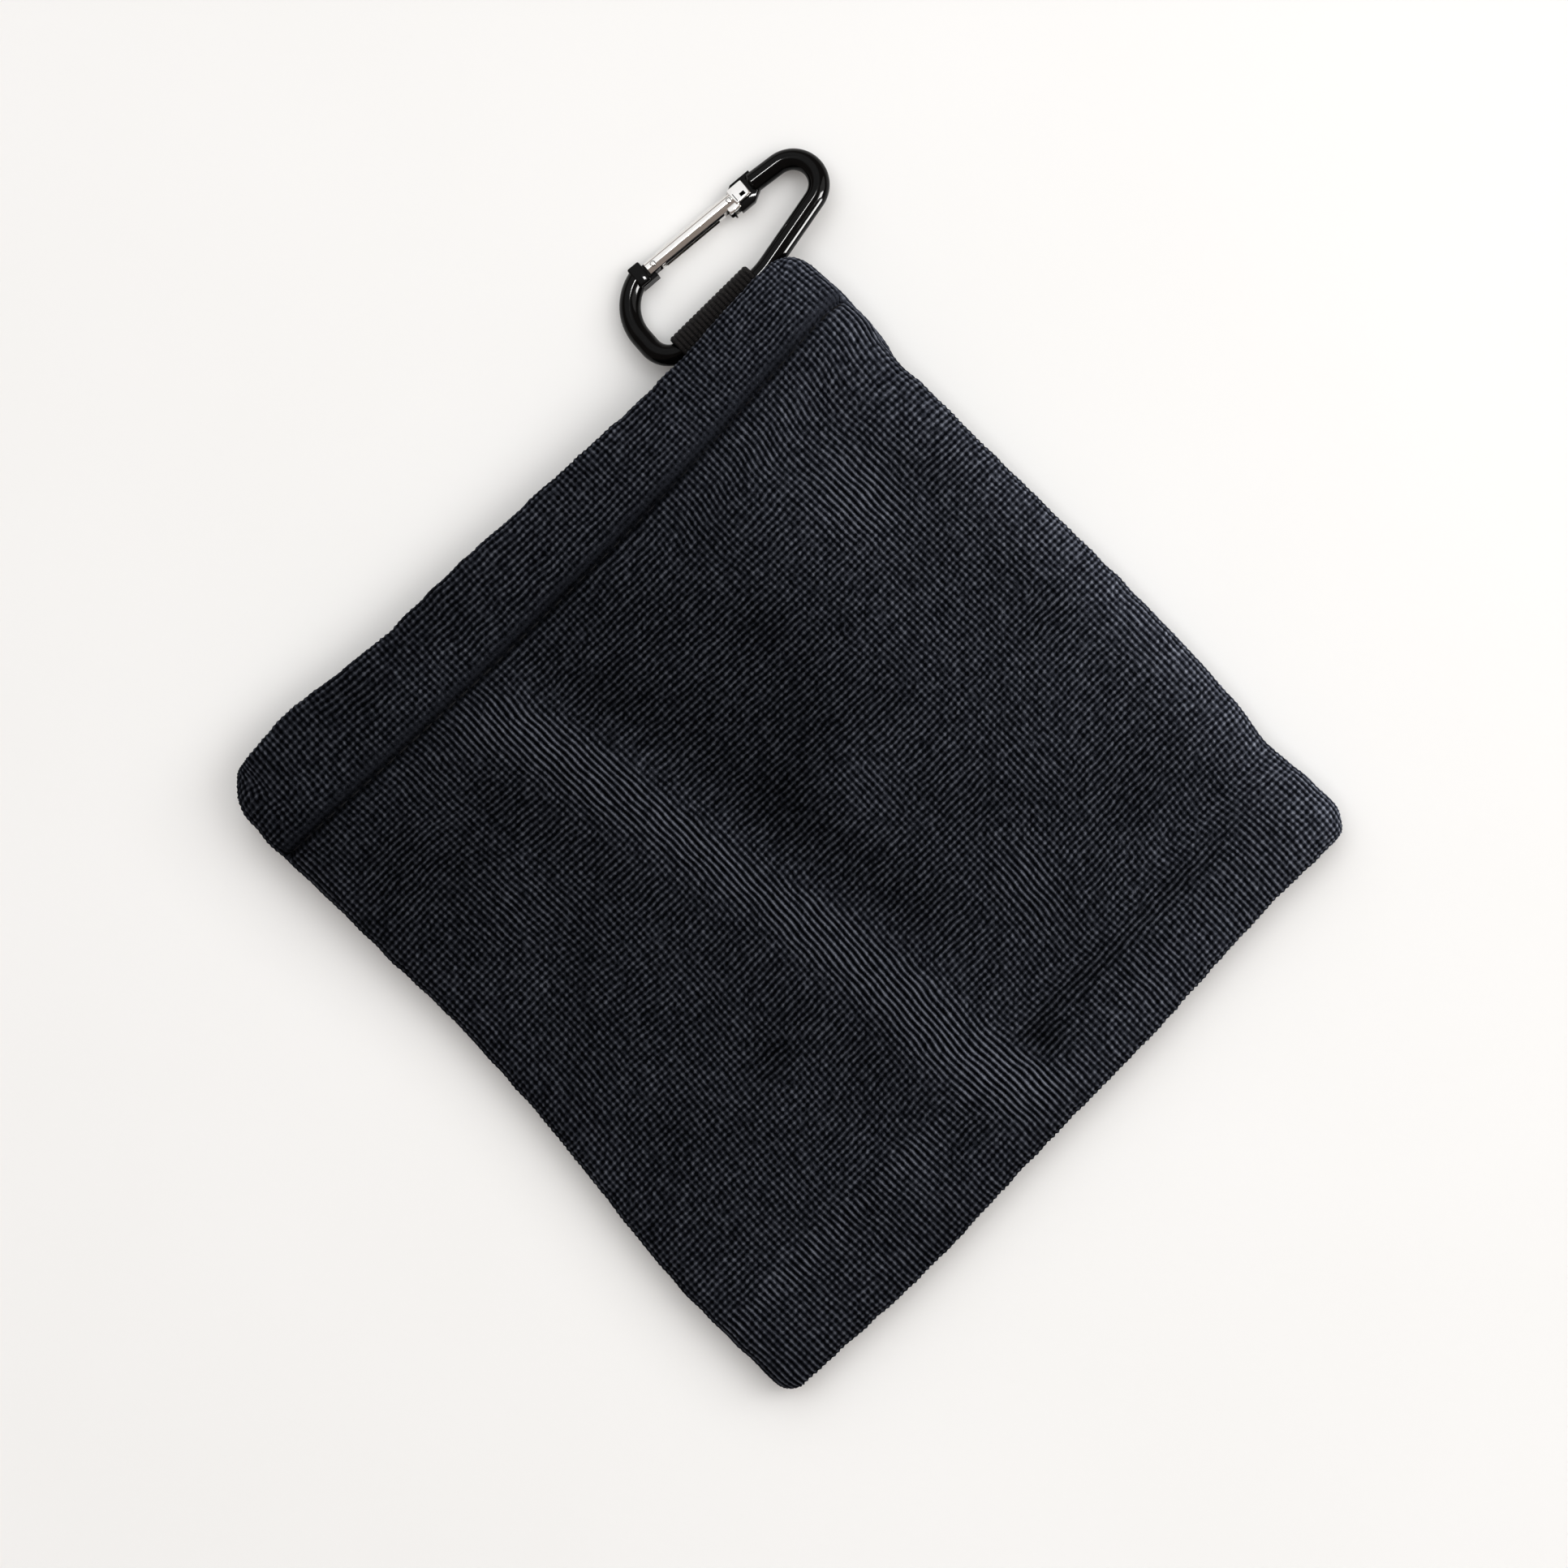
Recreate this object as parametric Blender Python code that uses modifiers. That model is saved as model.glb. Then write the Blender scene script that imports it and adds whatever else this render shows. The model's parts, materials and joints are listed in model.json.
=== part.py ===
"""Pouch-style golf towel: two folded microfibre panels, a webbing loop and a small carabiner.

Frame: metres, +Z up.  The pouch lies flat, X runs along its mouth, +Y points out of the mouth,
and the origin is on the underside, near the middle of the pouch.
The carabiner rests on the same surface as the pouch, tilted about its own spine.
"""

import math

import bmesh
import bpy
from mathutils import Matrix, Vector

MM = 0.001

# ---- pouch -------------------------------------------------------------------------------
CLOTH = 1.8 * MM                # thickness of one layer of pressed microfibre
PLY_GAP = 0.3 * MM              # air between two layers that lie on each other
CORNERS = {                     # outer corners of the front panel, before rounding
    "bottom_left": (-80.2 * MM, -81.6 * MM),
    "bottom_right": (76.2 * MM, -77.8 * MM),
    "top_right": (77.0 * MM, 77.4 * MM),
    "top_left": (-76.0 * MM, 81.6 * MM),
}
SIDE_BOW = {"left": 1.8 * MM, "right": 0.0, "bottom": 0.3 * MM, "top": -2.0 * MM}
CORNER_RADIUS = 7.0 * MM
PANEL_CELLS = 18                # grid cells across one panel, each way
SEAM_ALLOWANCE = 8.0 * MM       # cloth turned inwards at the two sides and at the bottom
HEM_DEPTH = 16.5 * MM           # cloth turned inwards at the mouth
SEAM_HEIGHT = 4 * CLOTH + 3 * PLY_GAP
MOUTH_RISE = 4.65 * MM          # how far the front panel stands up at the mouth
MOUTH_FLAT_FROM_Y = 56.0 * MM   # from here to the edge the front panel has its full rise
MOUTH_RISE_FROM_Y = 5.0 * MM
MOUTH_FLAT_TO_X = 71.0 * MM
MOUTH_FALL_TO_X = 73.4 * MM
BACK_SHORTFALL = 3.2 * MM       # the back panel's mouth edge lies this far behind the front's
FOLD_STEPS = 6
MIDDLE_RETURN_TO_X = 63.5 * MM  # the hem and the bottom allowance are trimmed at their ends
SIDE_RETURN_TO_Y = 58.0 * MM    # the side allowances stop short of the hem
BOTTOM_RETURN_Y = -70.5 * MM    # and of the bottom allowance

# ---- threads -----------------------------------------------------------------------------
THREAD_RADIUS = 0.2 * MM
THREAD_CLEARANCE = 0.15 * MM
STITCH_PITCH = 3.0 * MM
HEM_STITCH_Y = 61.3 * MM
HEM_STITCH_TO_X = 67.0 * MM
DITCH_DEPTH = 0.85 * MM         # how far a seam thread lies behind the outer edge

# ---- webbing loop ------------------------------------------------------------------------
WEBBING = 1.0 * MM
WEBBING_X = (46.8 * MM, 67.1 * MM)
LEG_FROM_Y = 62.6 * MM
LEG_TO_Y = 72.9 * MM
SPINE_Y = 77.3 * MM
SPINE_Z = 5.35 * MM
LEG_OFFSET = 0.65 * MM          # half the distance between the middles of the two legs
WRAP_STEPS = 16

# ---- carabiner, in its own plane: x along the spine, y from the spine to the gate ----------
ROD_RADIUS = 2.0 * MM
WRAP_RADIUS = ROD_RADIUS + 0.3 * MM + WEBBING / 2
TILT = math.radians(11.2)       # lying down, the hinge end just touches the surface
ROD_ROUTE = [                   # middle line of the bent rod, from the hinge end to the nose
    (50.6, 16.7), (48.2, 15.7), (45.7, 13.5), (44.1, 10.2), (43.5, 7.0), (43.6, 4.0),
    (44.9, 1.3), (47.6, 0.1), (52.0, 0.0), (62.0, 0.0), (67.0, 0.1), (72.0, 0.95),
    (79.0, 2.1), (84.0, 3.2), (87.6, 4.7), (89.3, 7.2), (89.3, 9.8), (87.9, 12.1),
    (85.0, 13.5), (81.6, 14.1), (78.8, 14.4),
]
ROD_STEPS = 4                   # points on each stretch of the route
GATE_AXIS = ((54.9 * MM, 16.35 * MM), (78.1 * MM, 14.35 * MM))   # hinge pin and nose end
GATE_LENGTH = math.dist(*GATE_AXIS)
GATE_RADIUS = 1.7 * MM
GATE_BORE = 1.2 * MM
TONGUE = 1.6 * MM               # thickness of both flattened rod ends
TONGUE_END = 1.35 * MM          # radius of the hinge tongue's round end
NOTCH_HALF_WIDTH = 0.66 * MM    # of the notch that takes the nose pin
TONGUE_SLOT = 2.2 * MM          # width of the slots that take them
PIN_RADIUS = 0.5 * MM
PIN_HOLE = 0.58 * MM
PIN_HALF_LENGTH = 1.68 * MM
NOSE_PIN_BACK = 4.25 * MM       # from the gate's nose end to the nose pin
NOSE_SLOT_LENGTH = 6.6 * MM
HINGE_SLOT_LENGTH = 2.1 * MM    # beyond the hinge pin
INNER_SLOT = 1.3 * MM
SPRING_FROM = 6.2 * MM          # along the gate, from the hinge pin
SPRING_TO = 15.2 * MM
SPRING_RADIUS = 0.72 * MM
SPRING_WIRE = 0.13 * MM
SPRING_TURNS = 9
SPRING_STEPS = 10               # points on one turn
FOLLOWER_RADIUS = 0.85 * MM
FOLLOWER_FROM = 2.5 * MM
FOLLOWER_TO = 5.9 * MM
ROUND_SIDES = 20


# ---- scene and small helpers -------------------------------------------------------------
def clear_scene():
    for old in list(bpy.data.objects):
        bpy.data.objects.remove(old, do_unlink=True)


def new_collection(name):
    collection = bpy.data.collections.new(name)
    bpy.context.scene.collection.children.link(collection)
    return collection


def material(name, colour, roughness, metallic=0.0):
    made = bpy.data.materials.new(name)
    made.use_nodes = True
    shader = made.node_tree.nodes["Principled BSDF"]
    shader.inputs["Base Color"].default_value = (*colour, 1.0)
    shader.inputs["Roughness"].default_value = roughness
    shader.inputs["Metallic"].default_value = metallic
    return made


def add_object(name, data, collection, finish=None):
    made = bpy.data.objects.new(name, data)
    collection.objects.link(made)
    if finish is not None:
        data.materials.append(finish)
    return made


def mesh_from(bm, name):
    bmesh.ops.recalc_face_normals(bm, faces=bm.faces)
    mesh = bpy.data.meshes.new(name)
    bm.to_mesh(mesh)
    bm.free()
    return mesh


def smoothstep(low, high, value):
    t = min(1.0, max(0.0, (value - low) / (high - low)))
    return t * t * (3.0 - 2.0 * t)


def smooth_route(points, steps):
    """Points on a Catmull-Rom curve through the given points."""
    padded = [2 * points[0] - points[1], *points, 2 * points[-1] - points[-2]]
    route = []
    for before, start, end, after in zip(padded, padded[1:], padded[2:], padded[3:]):
        for step in range(steps):
            t = step / steps
            route.append(0.5 * (
                2 * start + (end - before) * t
                + (2 * before - 5 * start + 4 * end - after) * t ** 2
                + (3 * start - before - 3 * end + after) * t ** 3))
    route.append(points[-1].copy())
    return route


def tube(name, points, radius, resolution, collection, finish, cyclic=False):
    curve = bpy.data.curves.new(name, "CURVE")
    curve.dimensions = "3D"
    curve.bevel_depth = radius
    curve.bevel_resolution = resolution
    curve.use_fill_caps = not cyclic
    spline = curve.splines.new("POLY")
    spline.points.add(len(points) - 1)
    for place, point in zip(spline.points, points):
        place.co = (*point, 1.0)
    spline.use_cyclic_u = cyclic
    return add_object(name, curve, collection, finish)


def curve_to_mesh(source, collection, finish):
    """Replace a curve object by a mesh object with its caps welded."""
    name = source.name
    evaluated = source.evaluated_get(bpy.context.evaluated_depsgraph_get())
    mesh = bpy.data.meshes.new_from_object(evaluated)
    bm = bmesh.new()
    bm.from_mesh(mesh)
    bmesh.ops.remove_doubles(bm, verts=bm.verts, dist=0.001 * MM)
    bmesh.ops.recalc_face_normals(bm, faces=bm.faces)
    bm.to_mesh(mesh)
    bm.free()
    mesh.materials.clear()
    made = add_object(name + "_mesh", mesh, collection, finish)
    made.matrix_world = source.matrix_world
    bpy.data.objects.remove(source, do_unlink=True)
    made.name = name
    return made


def box_mesh(name, low, high, bevel=0.0):
    bm = bmesh.new()
    size = Vector(high) - Vector(low)
    middle = (Vector(high) + Vector(low)) / 2
    bmesh.ops.create_cube(bm, size=1.0, matrix=Matrix.Translation(middle) @ Matrix.Diagonal((*size, 1.0)))
    if bevel:
        bmesh.ops.bevel(bm, geom=bm.edges[:], offset=bevel, segments=2, affect="EDGES", profile=0.5)
    return mesh_from(bm, name)


def rod_mesh(name, radius, start, end, axis, sides=ROUND_SIDES):
    """A plain cylinder along X or Z from start to end."""
    bm = bmesh.new()
    turn = Matrix.Rotation(math.pi / 2, 4, "Y") if axis == "X" else Matrix()
    centre = (Vector(start) + Vector(end)) / 2
    length = (Vector(end) - Vector(start)).length
    bmesh.ops.create_cone(
        bm, cap_ends=True, segments=sides, radius1=radius, radius2=radius, depth=length,
        matrix=Matrix.Translation(centre) @ turn)
    mesh = mesh_from(bm, name)
    mesh.shade_smooth()
    mesh.set_sharp_from_angle(angle=math.radians(40))
    return mesh


def plate(name, outline, thickness, collection):
    """A flat outline in the XY plane, thickened about z = 0."""
    curve = bpy.data.curves.new(name, "CURVE")
    curve.dimensions = "2D"
    curve.fill_mode = "BOTH"
    curve.extrude = thickness / 2
    spline = curve.splines.new("POLY")
    spline.points.add(len(outline) - 1)
    for place, point in zip(spline.points, outline):
        place.co = (point[0], point[1], 0.0, 1.0)
    spline.use_cyclic_u = True
    return curve_to_mesh(add_object(name, curve, collection), collection, None)


def cutter(name, mesh, parent):
    made = add_object(name, mesh, CUTTERS)
    made.parent = parent
    made.hide_render = True
    made.display_type = "WIRE"
    return made


def boolean(target, tool, operation):
    step = target.modifiers.new(f"{operation.lower()}_{tool.name}", "BOOLEAN")
    step.operation = operation
    step.solver = "EXACT"
    step.object = tool


# ---- pouch panels ------------------------------------------------------------------------
def outline_point(u, v):
    """Outer outline of the front panel for u and v from -1 to 1, with its corners rounded."""
    width = CORNERS["bottom_right"][0] - CORNERS["bottom_left"][0]
    height = CORNERS["top_left"][1] - CORNERS["bottom_left"][1]
    reach = Vector(((1 - abs(u)) * width / 2, (1 - abs(v)) * height / 2))
    inner = Vector((CORNER_RADIUS - reach.x, CORNER_RADIUS - reach.y))
    if inner.x > 0 and inner.y > 0:
        inner *= max(inner.x, inner.y) / inner.length
        u = math.copysign(1 - (CORNER_RADIUS - inner.x) * 2 / width, u)
        v = math.copysign(1 - (CORNER_RADIUS - inner.y) * 2 / height, v)
    s = (u + 1) / 2
    t = (v + 1) / 2
    low = Vector(CORNERS["bottom_left"]).lerp(Vector(CORNERS["bottom_right"]), s)
    high = Vector(CORNERS["top_left"]).lerp(Vector(CORNERS["top_right"]), s)
    point = low.lerp(high, t)
    across = 1 - u * u
    along = 1 - v * v
    point.x += along * (SIDE_BOW["left"] * (1 - s) + SIDE_BOW["right"] * s)
    point.y += across * (SIDE_BOW["bottom"] * (1 - t) + SIDE_BOW["top"] * t)
    return point


def front_height(x, y):
    """Height of the front panel's outer face."""
    rise = smoothstep(MOUTH_RISE_FROM_Y, MOUTH_FLAT_FROM_Y, y)
    fall = 1 - smoothstep(MOUTH_FLAT_TO_X, MOUTH_FALL_TO_X, abs(x))
    return SEAM_HEIGHT + MOUTH_RISE * rise * fall


def turn_in(bm, edges, outward, inward_z, depth, keeps_return):
    """Fold the cloth beyond these edges through half a circle and lay it back inside."""
    radius = (CLOTH + PLY_GAP) / 2
    offsets = []
    for step in range(1, FOLD_STEPS + 1):
        angle = math.pi * step / FOLD_STEPS
        offsets.append((radius * math.sin(angle), radius * (1 - math.cos(angle))))
    offsets += [(-depth / 2, 2 * radius), (-depth, 2 * radius)]
    last = (0.0, 0.0)
    for number, (out, rise) in enumerate(offsets):
        if number == FOLD_STEPS:
            edges = [edge for edge in edges if all(keeps_return(vert.co) for vert in edge.verts)]
        made = bmesh.ops.extrude_edge_only(bm, edges=edges)["geom"]
        moved = [item for item in made if isinstance(item, bmesh.types.BMVert)]
        shift = outward * (out - last[0]) + Vector((0, 0, inward_z * (rise - last[1])))
        bmesh.ops.translate(bm, verts=moved, vec=shift)
        fresh = set(moved)
        edges = [item for item in made
                 if isinstance(item, bmesh.types.BMEdge) and set(item.verts) <= fresh]
        last = (out, rise)


def spread(s):
    """Move the grid lines towards the edges, where the cloth folds."""
    return 0.6 * s * (3 - s * s) / 2 + 0.4 * s


def panel(name, finish, is_front):
    """One panel with its mouth hem and its seam allowances turned to the inside."""
    inset = (CLOTH + PLY_GAP) / 2 + CLOTH / 2
    bm = bmesh.new()
    bmesh.ops.create_grid(bm, x_segments=PANEL_CELLS, y_segments=PANEL_CELLS, size=1.0)
    flat = {vert: (spread(vert.co.x), spread(vert.co.y)) for vert in bm.verts}
    half = (CORNERS["bottom_right"][0] - CORNERS["bottom_left"][0]) / 2
    for vert, (u, v) in flat.items():
        point = outline_point(u, v)
        point *= 1 - inset / half
        if not is_front:
            point.y -= BACK_SHORTFALL * smoothstep(0.0, 1.0, v)
        height = front_height(*point) - CLOTH / 2 if is_front else CLOTH / 2
        vert.co = (point.x, point.y, height)
    inward_z = -1.0 if is_front else 1.0

    def side_edges(axis, sign, low, high):
        found = []
        for edge in bm.edges:
            places = [flat.get(vert) for vert in edge.verts]
            if None in places:
                continue
            on_side = all(abs(place[axis] - sign) < 1e-6 for place in places)
            if on_side and all(low <= vert.co[1 - axis] <= high for vert in edge.verts):
                found.append(edge)
        return found

    def in_side_return(place):
        return BOTTOM_RETURN_Y < place.y < SIDE_RETURN_TO_Y

    def within_middle(place):
        return abs(place.x) < MIDDLE_RETURN_TO_X

    sides = [
        (0, -1, Vector((-1, 0, 0)), SEAM_ALLOWANCE, in_side_return),
        (0, 1, Vector((1, 0, 0)), SEAM_ALLOWANCE, in_side_return),
        (1, -1, Vector((0, -1, 0)), SEAM_ALLOWANCE, within_middle),
        (1, 1, Vector((0, 1, 0)), HEM_DEPTH, within_middle),
    ]
    reach = (CORNERS["bottom_right"][0] - CORNERS["bottom_left"][0]) / 2 - CORNER_RADIUS
    chosen = [side_edges(axis, sign, -reach, reach) for axis, sign, _, _, _ in sides]
    for edges, (_, _, outward, depth, keeps_return) in zip(chosen, sides):
        turn_in(bm, edges, outward, inward_z, depth, keeps_return)
    made = add_object(name, mesh_from(bm, name), PARTS, finish)
    made.data.shade_smooth()
    thick = made.modifiers.new("thickness", "SOLIDIFY")
    thick.thickness = CLOTH
    thick.offset = 0.0
    thick.use_even_offset = True
    return made


# ---- threads -----------------------------------------------------------------------------
def stitched(name, place, length, finish, wave):
    """A thread that rises and dips once a stitch along place(t), t in metres."""
    count = 2 * round(length / STITCH_PITCH)
    points = []
    for step in range(count + 1):
        point = place(length * step / count)
        points.append(point + wave * (0.5 if step % 2 else -0.5))
    return tube(name, points, THREAD_RADIUS, 0, PARTS, finish)


def edge_line(start_uv, end_uv, depth, height):
    """Points a little behind the outer edge of the pouch, at one height."""
    def place(t):
        mix = t / edge_length(start_uv, end_uv)
        u = start_uv[0] + (end_uv[0] - start_uv[0]) * mix
        v = start_uv[1] + (end_uv[1] - start_uv[1]) * mix
        point = outline_point(u, v)
        if abs(u) == 1:
            point.x -= math.copysign(depth, u)
        else:
            point.y -= math.copysign(depth, v)
        return Vector((point.x, point.y, height))
    return place


def edge_length(start_uv, end_uv):
    return (outline_point(*end_uv) - outline_point(*start_uv)).length


def threads(finish):
    lift = THREAD_RADIUS + THREAD_CLEARANCE
    length = 2 * HEM_STITCH_TO_X

    def front_hem(t):
        x = t - HEM_STITCH_TO_X
        return Vector((x, HEM_STITCH_Y, front_height(x, HEM_STITCH_Y) + lift))

    def back_hem(t):
        return Vector((t - HEM_STITCH_TO_X, HEM_STITCH_Y, 2 * CLOTH + PLY_GAP + lift))

    sideways = Vector((0, 0.3 * MM, 0))
    stitched("front_hem_thread", front_hem, length, finish, sideways)
    stitched("back_hem_thread", back_hem, length, finish, sideways)
    ditch = SEAM_HEIGHT / 2
    for name, start, end, wave in [
            ("left_seam_thread", (-1, -0.84), (-1, 0.68), Vector((0.1 * MM, 0, 0))),
            ("right_seam_thread", (1, -0.84), (1, 0.68), Vector((0.1 * MM, 0, 0))),
            ("bottom_seam_thread", (-0.8, -1), (0.8, -1), Vector((0, 0.1 * MM, 0)))]:
        place = edge_line(start, end, DITCH_DEPTH, ditch)
        stitched(name, place, edge_length(start, end), finish, wave)
    top = SPINE_Z + LEG_OFFSET + WEBBING / 2 + lift
    inset = 2.0 * MM
    left = WEBBING_X[0] + inset
    right = WEBBING_X[1] - inset
    near = LEG_FROM_Y + inset
    far = near + 5.0 * MM
    corners = [Vector((left, near, top)), Vector((right, near, top)),
               Vector((right, far, top)), Vector((left, far, top))]
    tube("loop_tack_thread", corners, THREAD_RADIUS, 1, PARTS, finish, cyclic=True)


# ---- webbing loop ------------------------------------------------------------------------
def webbing_loop(finish):
    """A flat band that comes out of the mouth, goes round the spine and returns."""
    centre = Vector((SPINE_Y, SPINE_Z))
    leg_z = SPINE_Z - LEG_OFFSET
    profile = [Vector((LEG_FROM_Y, leg_z)), Vector((LEG_TO_Y, leg_z + 0.1 * MM))]
    start = profile[-1]
    reach = centre - start
    lean = math.asin(WRAP_RADIUS / reach.length)
    towards = math.atan2(reach.y, reach.x)
    first = towards - lean - math.pi / 2
    sweep = math.pi + 2 * lean
    for step in range(WRAP_STEPS + 1):
        angle = first + sweep * step / WRAP_STEPS
        profile.append(centre + WRAP_RADIUS * Vector((math.cos(angle), math.sin(angle))))
    for point in reversed(profile[:2]):
        profile.append(Vector((point.x, 2 * SPINE_Z - point.y)))
    bm = bmesh.new()
    chain = [bm.verts.new((WEBBING_X[0], point.x, point.y)) for point in profile]
    edges = [bm.edges.new(pair) for pair in zip(chain, chain[1:])]
    made = bmesh.ops.extrude_edge_only(bm, edges=edges)["geom"]
    moved = [item for item in made if isinstance(item, bmesh.types.BMVert)]
    bmesh.ops.translate(bm, verts=moved, vec=(WEBBING_X[1] - WEBBING_X[0], 0, 0))
    band = add_object("webbing_loop", mesh_from(bm, "webbing_loop"), PARTS, finish)
    band.data.shade_smooth()
    thick = band.modifiers.new("thickness", "SOLIDIFY")
    thick.thickness = WEBBING
    thick.offset = 0.0
    thick.use_even_offset = True
    return band


# ---- carabiner ---------------------------------------------------------------------------
def circle_outline(centre, radius, first, last, steps):
    return [centre + radius * Vector((math.cos(first + (last - first) * step / steps),
                                      math.sin(first + (last - first) * step / steps)))
            for step in range(steps + 1)]


def carabiner_frame(finish, plane, gate_plane):
    points = [Vector((x * MM, y * MM, 0)) for x, y in ROD_ROUTE]
    route = smooth_route(points, ROD_STEPS)
    body = curve_to_mesh(tube("carabiner_frame", route, ROD_RADIUS, 3, PARTS, finish), PARTS, finish)
    body.parent = plane
    body.data.shade_smooth()
    body.data.set_sharp_from_angle(angle=math.radians(40))

    block_low = (-5.6 * MM, -2.75 * MM, -1.75 * MM)
    block_high = (-2.1 * MM, 2.15 * MM, 1.75 * MM)
    block = cutter("hinge_block", box_mesh("hinge_block", block_low, block_high, 0.35 * MM), gate_plane)
    tongue_outline = circle_outline(Vector((0, 0)), TONGUE_END, -math.pi / 2, math.pi / 2, 10)
    tongue_outline += [Vector((-3.5 * MM, TONGUE_END)), Vector((-3.5 * MM, -TONGUE_END))]
    hinge_tongue = plate("hinge_tongue", tongue_outline, TONGUE, CUTTERS)
    end = GATE_LENGTH
    pin_x = end - NOSE_PIN_BACK
    notch = NOTCH_HALF_WIDTH
    nose_outline = [
        Vector((end + 2.4 * MM, 1.45 * MM)),
        Vector((pin_x - 1.55 * MM, 1.15 * MM)),
        Vector((pin_x - 1.55 * MM, -2.1 * MM)),
        Vector((pin_x - notch, -2.1 * MM)),
        Vector((pin_x - notch, 0)),
        *circle_outline(Vector((pin_x, 0)), notch, math.pi, 0, 8)[1:-1],
        Vector((pin_x + notch, 0)),
        Vector((pin_x + notch, -3.2 * MM)),
        Vector((end - 0.4 * MM, -3.2 * MM)),
        Vector((end + 1.0 * MM, -2.2 * MM)),
        Vector((end + 2.4 * MM, -1.4 * MM)),
    ]
    nose_tongue = plate("nose_tongue", nose_outline, TONGUE, CUTTERS)
    for piece in (hinge_tongue, nose_tongue):
        piece.parent = gate_plane
        piece.hide_render = True
        piece.display_type = "WIRE"
    for piece in (block, hinge_tongue, nose_tongue):
        boolean(body, piece, "UNION")
    hole = cutter("frame_hinge_hole", rod_mesh(
        "frame_hinge_hole", PIN_HOLE, (0, 0, -3 * MM), (0, 0, 3 * MM), "Z"), gate_plane)
    boolean(body, hole, "DIFFERENCE")
    return body


def gate(finish, gate_plane):
    end = GATE_LENGTH
    body = add_object("gate_body", rod_mesh(
        "gate_body", GATE_RADIUS, (-1.5 * MM, 0, 0), (end - 0.6 * MM, 0, 0), "X", 24), PARTS, finish)
    body.parent = gate_plane
    block_low = (end - 3.6 * MM, -1.72 * MM, -1.85 * MM)
    block = cutter("nose_block", box_mesh(
        "nose_block", block_low, (end, -block_low[1], -block_low[2]), 0.3 * MM), gate_plane)
    boolean(body, block, "UNION")
    cuts = [
        box_mesh("hinge_slot", (-4 * MM, -3 * MM, -TONGUE_SLOT / 2),
                 (HINGE_SLOT_LENGTH, 3 * MM, TONGUE_SLOT / 2)),
        box_mesh("nose_slot", (end - NOSE_SLOT_LENGTH, -4 * MM, -TONGUE_SLOT / 2),
                 (end + 2 * MM, 4 * MM, TONGUE_SLOT / 2)),
        rod_mesh("bore", GATE_BORE, (-4 * MM, 0, 0), (SPRING_TO + 0.3 * MM, 0, 0), "X", 24),
        box_mesh("inner_slot", (1.0 * MM, -3 * MM, -INNER_SLOT / 2), (SPRING_TO, 0, INNER_SLOT / 2)),
        rod_mesh("gate_hinge_hole", PIN_HOLE, (0, 0, -3 * MM), (0, 0, 3 * MM), "Z"),
        rod_mesh("gate_nose_hole", PIN_HOLE, (end - NOSE_PIN_BACK, 0, -3 * MM),
                 (end - NOSE_PIN_BACK, 0, 3 * MM), "Z"),
    ]
    for mesh in cuts:
        boolean(body, cutter(mesh.name, mesh, gate_plane), "DIFFERENCE")
    return body


def pins_and_spring(finish, gate_plane):
    end = GATE_LENGTH
    for name, x in (("gate_hinge_pin", 0.0), ("gate_nose_pin", end - NOSE_PIN_BACK)):
        pin = add_object(name, rod_mesh(
            name, PIN_RADIUS, (x, 0, -PIN_HALF_LENGTH), (x, 0, PIN_HALF_LENGTH), "Z"), PARTS, finish)
        pin.parent = gate_plane
    follower = add_object("spring_follower", rod_mesh(
        "spring_follower", FOLLOWER_RADIUS, (FOLLOWER_FROM, 0, 0), (FOLLOWER_TO, 0, 0), "X", 12), PARTS, finish)
    follower.parent = gate_plane
    steps = SPRING_TURNS * SPRING_STEPS
    start = SPRING_FROM + SPRING_WIRE
    length = SPRING_TO - SPRING_FROM - 2 * SPRING_WIRE
    points = []
    for step in range(steps + 1):
        angle = 2 * math.pi * step / SPRING_STEPS
        coil = SPRING_RADIUS * Vector((math.cos(angle), math.sin(angle)))
        points.append(Vector((start + length * step / steps, coil.x, coil.y)))
    spring = tube("gate_spring", points, SPRING_WIRE, 0, PARTS, finish)
    spring.parent = gate_plane


# ---- assembly ----------------------------------------------------------------------------
clear_scene()
PARTS = new_collection("golf_towel")
CUTTERS = new_collection("cutters")

cloth = material("navy_black_microfibre", (0.014, 0.017, 0.023), 0.95)
thread = material("black_thread", (0.01, 0.01, 0.012), 0.7)
webbing = material("black_webbing", (0.012, 0.012, 0.013), 0.75)
black_metal = material("black_anodised", (0.012, 0.012, 0.013), 0.22, 0.6)
silver = material("polished_steel", (0.78, 0.78, 0.77), 0.14, 1.0)

panel("back_panel", cloth, is_front=False)
panel("front_panel", cloth, is_front=True)
threads(thread)
webbing_loop(webbing)

carabiner_plane = bpy.data.objects.new("carabiner_swing_axis", None)
PARTS.objects.link(carabiner_plane)
carabiner_plane.location = (0, SPINE_Y, SPINE_Z)
carabiner_plane.rotation_euler = (-TILT, 0, 0)

gate_start = Vector(GATE_AXIS[0])
gate_run = Vector(GATE_AXIS[1]) - gate_start
gate_plane = bpy.data.objects.new("gate_hinge_axis", None)
PARTS.objects.link(gate_plane)
gate_plane.parent = carabiner_plane
gate_plane.location = (gate_start.x, gate_start.y, 0)
gate_plane.rotation_euler = (0, 0, math.atan2(gate_run.y, gate_run.x))

carabiner_frame(black_metal, carabiner_plane, gate_plane)
gate(silver, gate_plane)
pins_and_spring(silver, gate_plane)
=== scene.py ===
# %% [markdown]
# # A pouch-style golf towel, built cell by cell
# The towel is two panels of thick, pebbled microfibre, sewn together along three sides and hemmed at the
# mouth. A short loop of ribbed webbing comes out of the mouth and holds a small black carabiner with a bright
# gate. The working part, with its joints, is loaded first. Its boxes and joints say where every piece goes,
# so the looks are built around a frame that never moves.

import json
import math

import bpy
import numpy as np
from mathutils import Matrix, Vector


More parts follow.
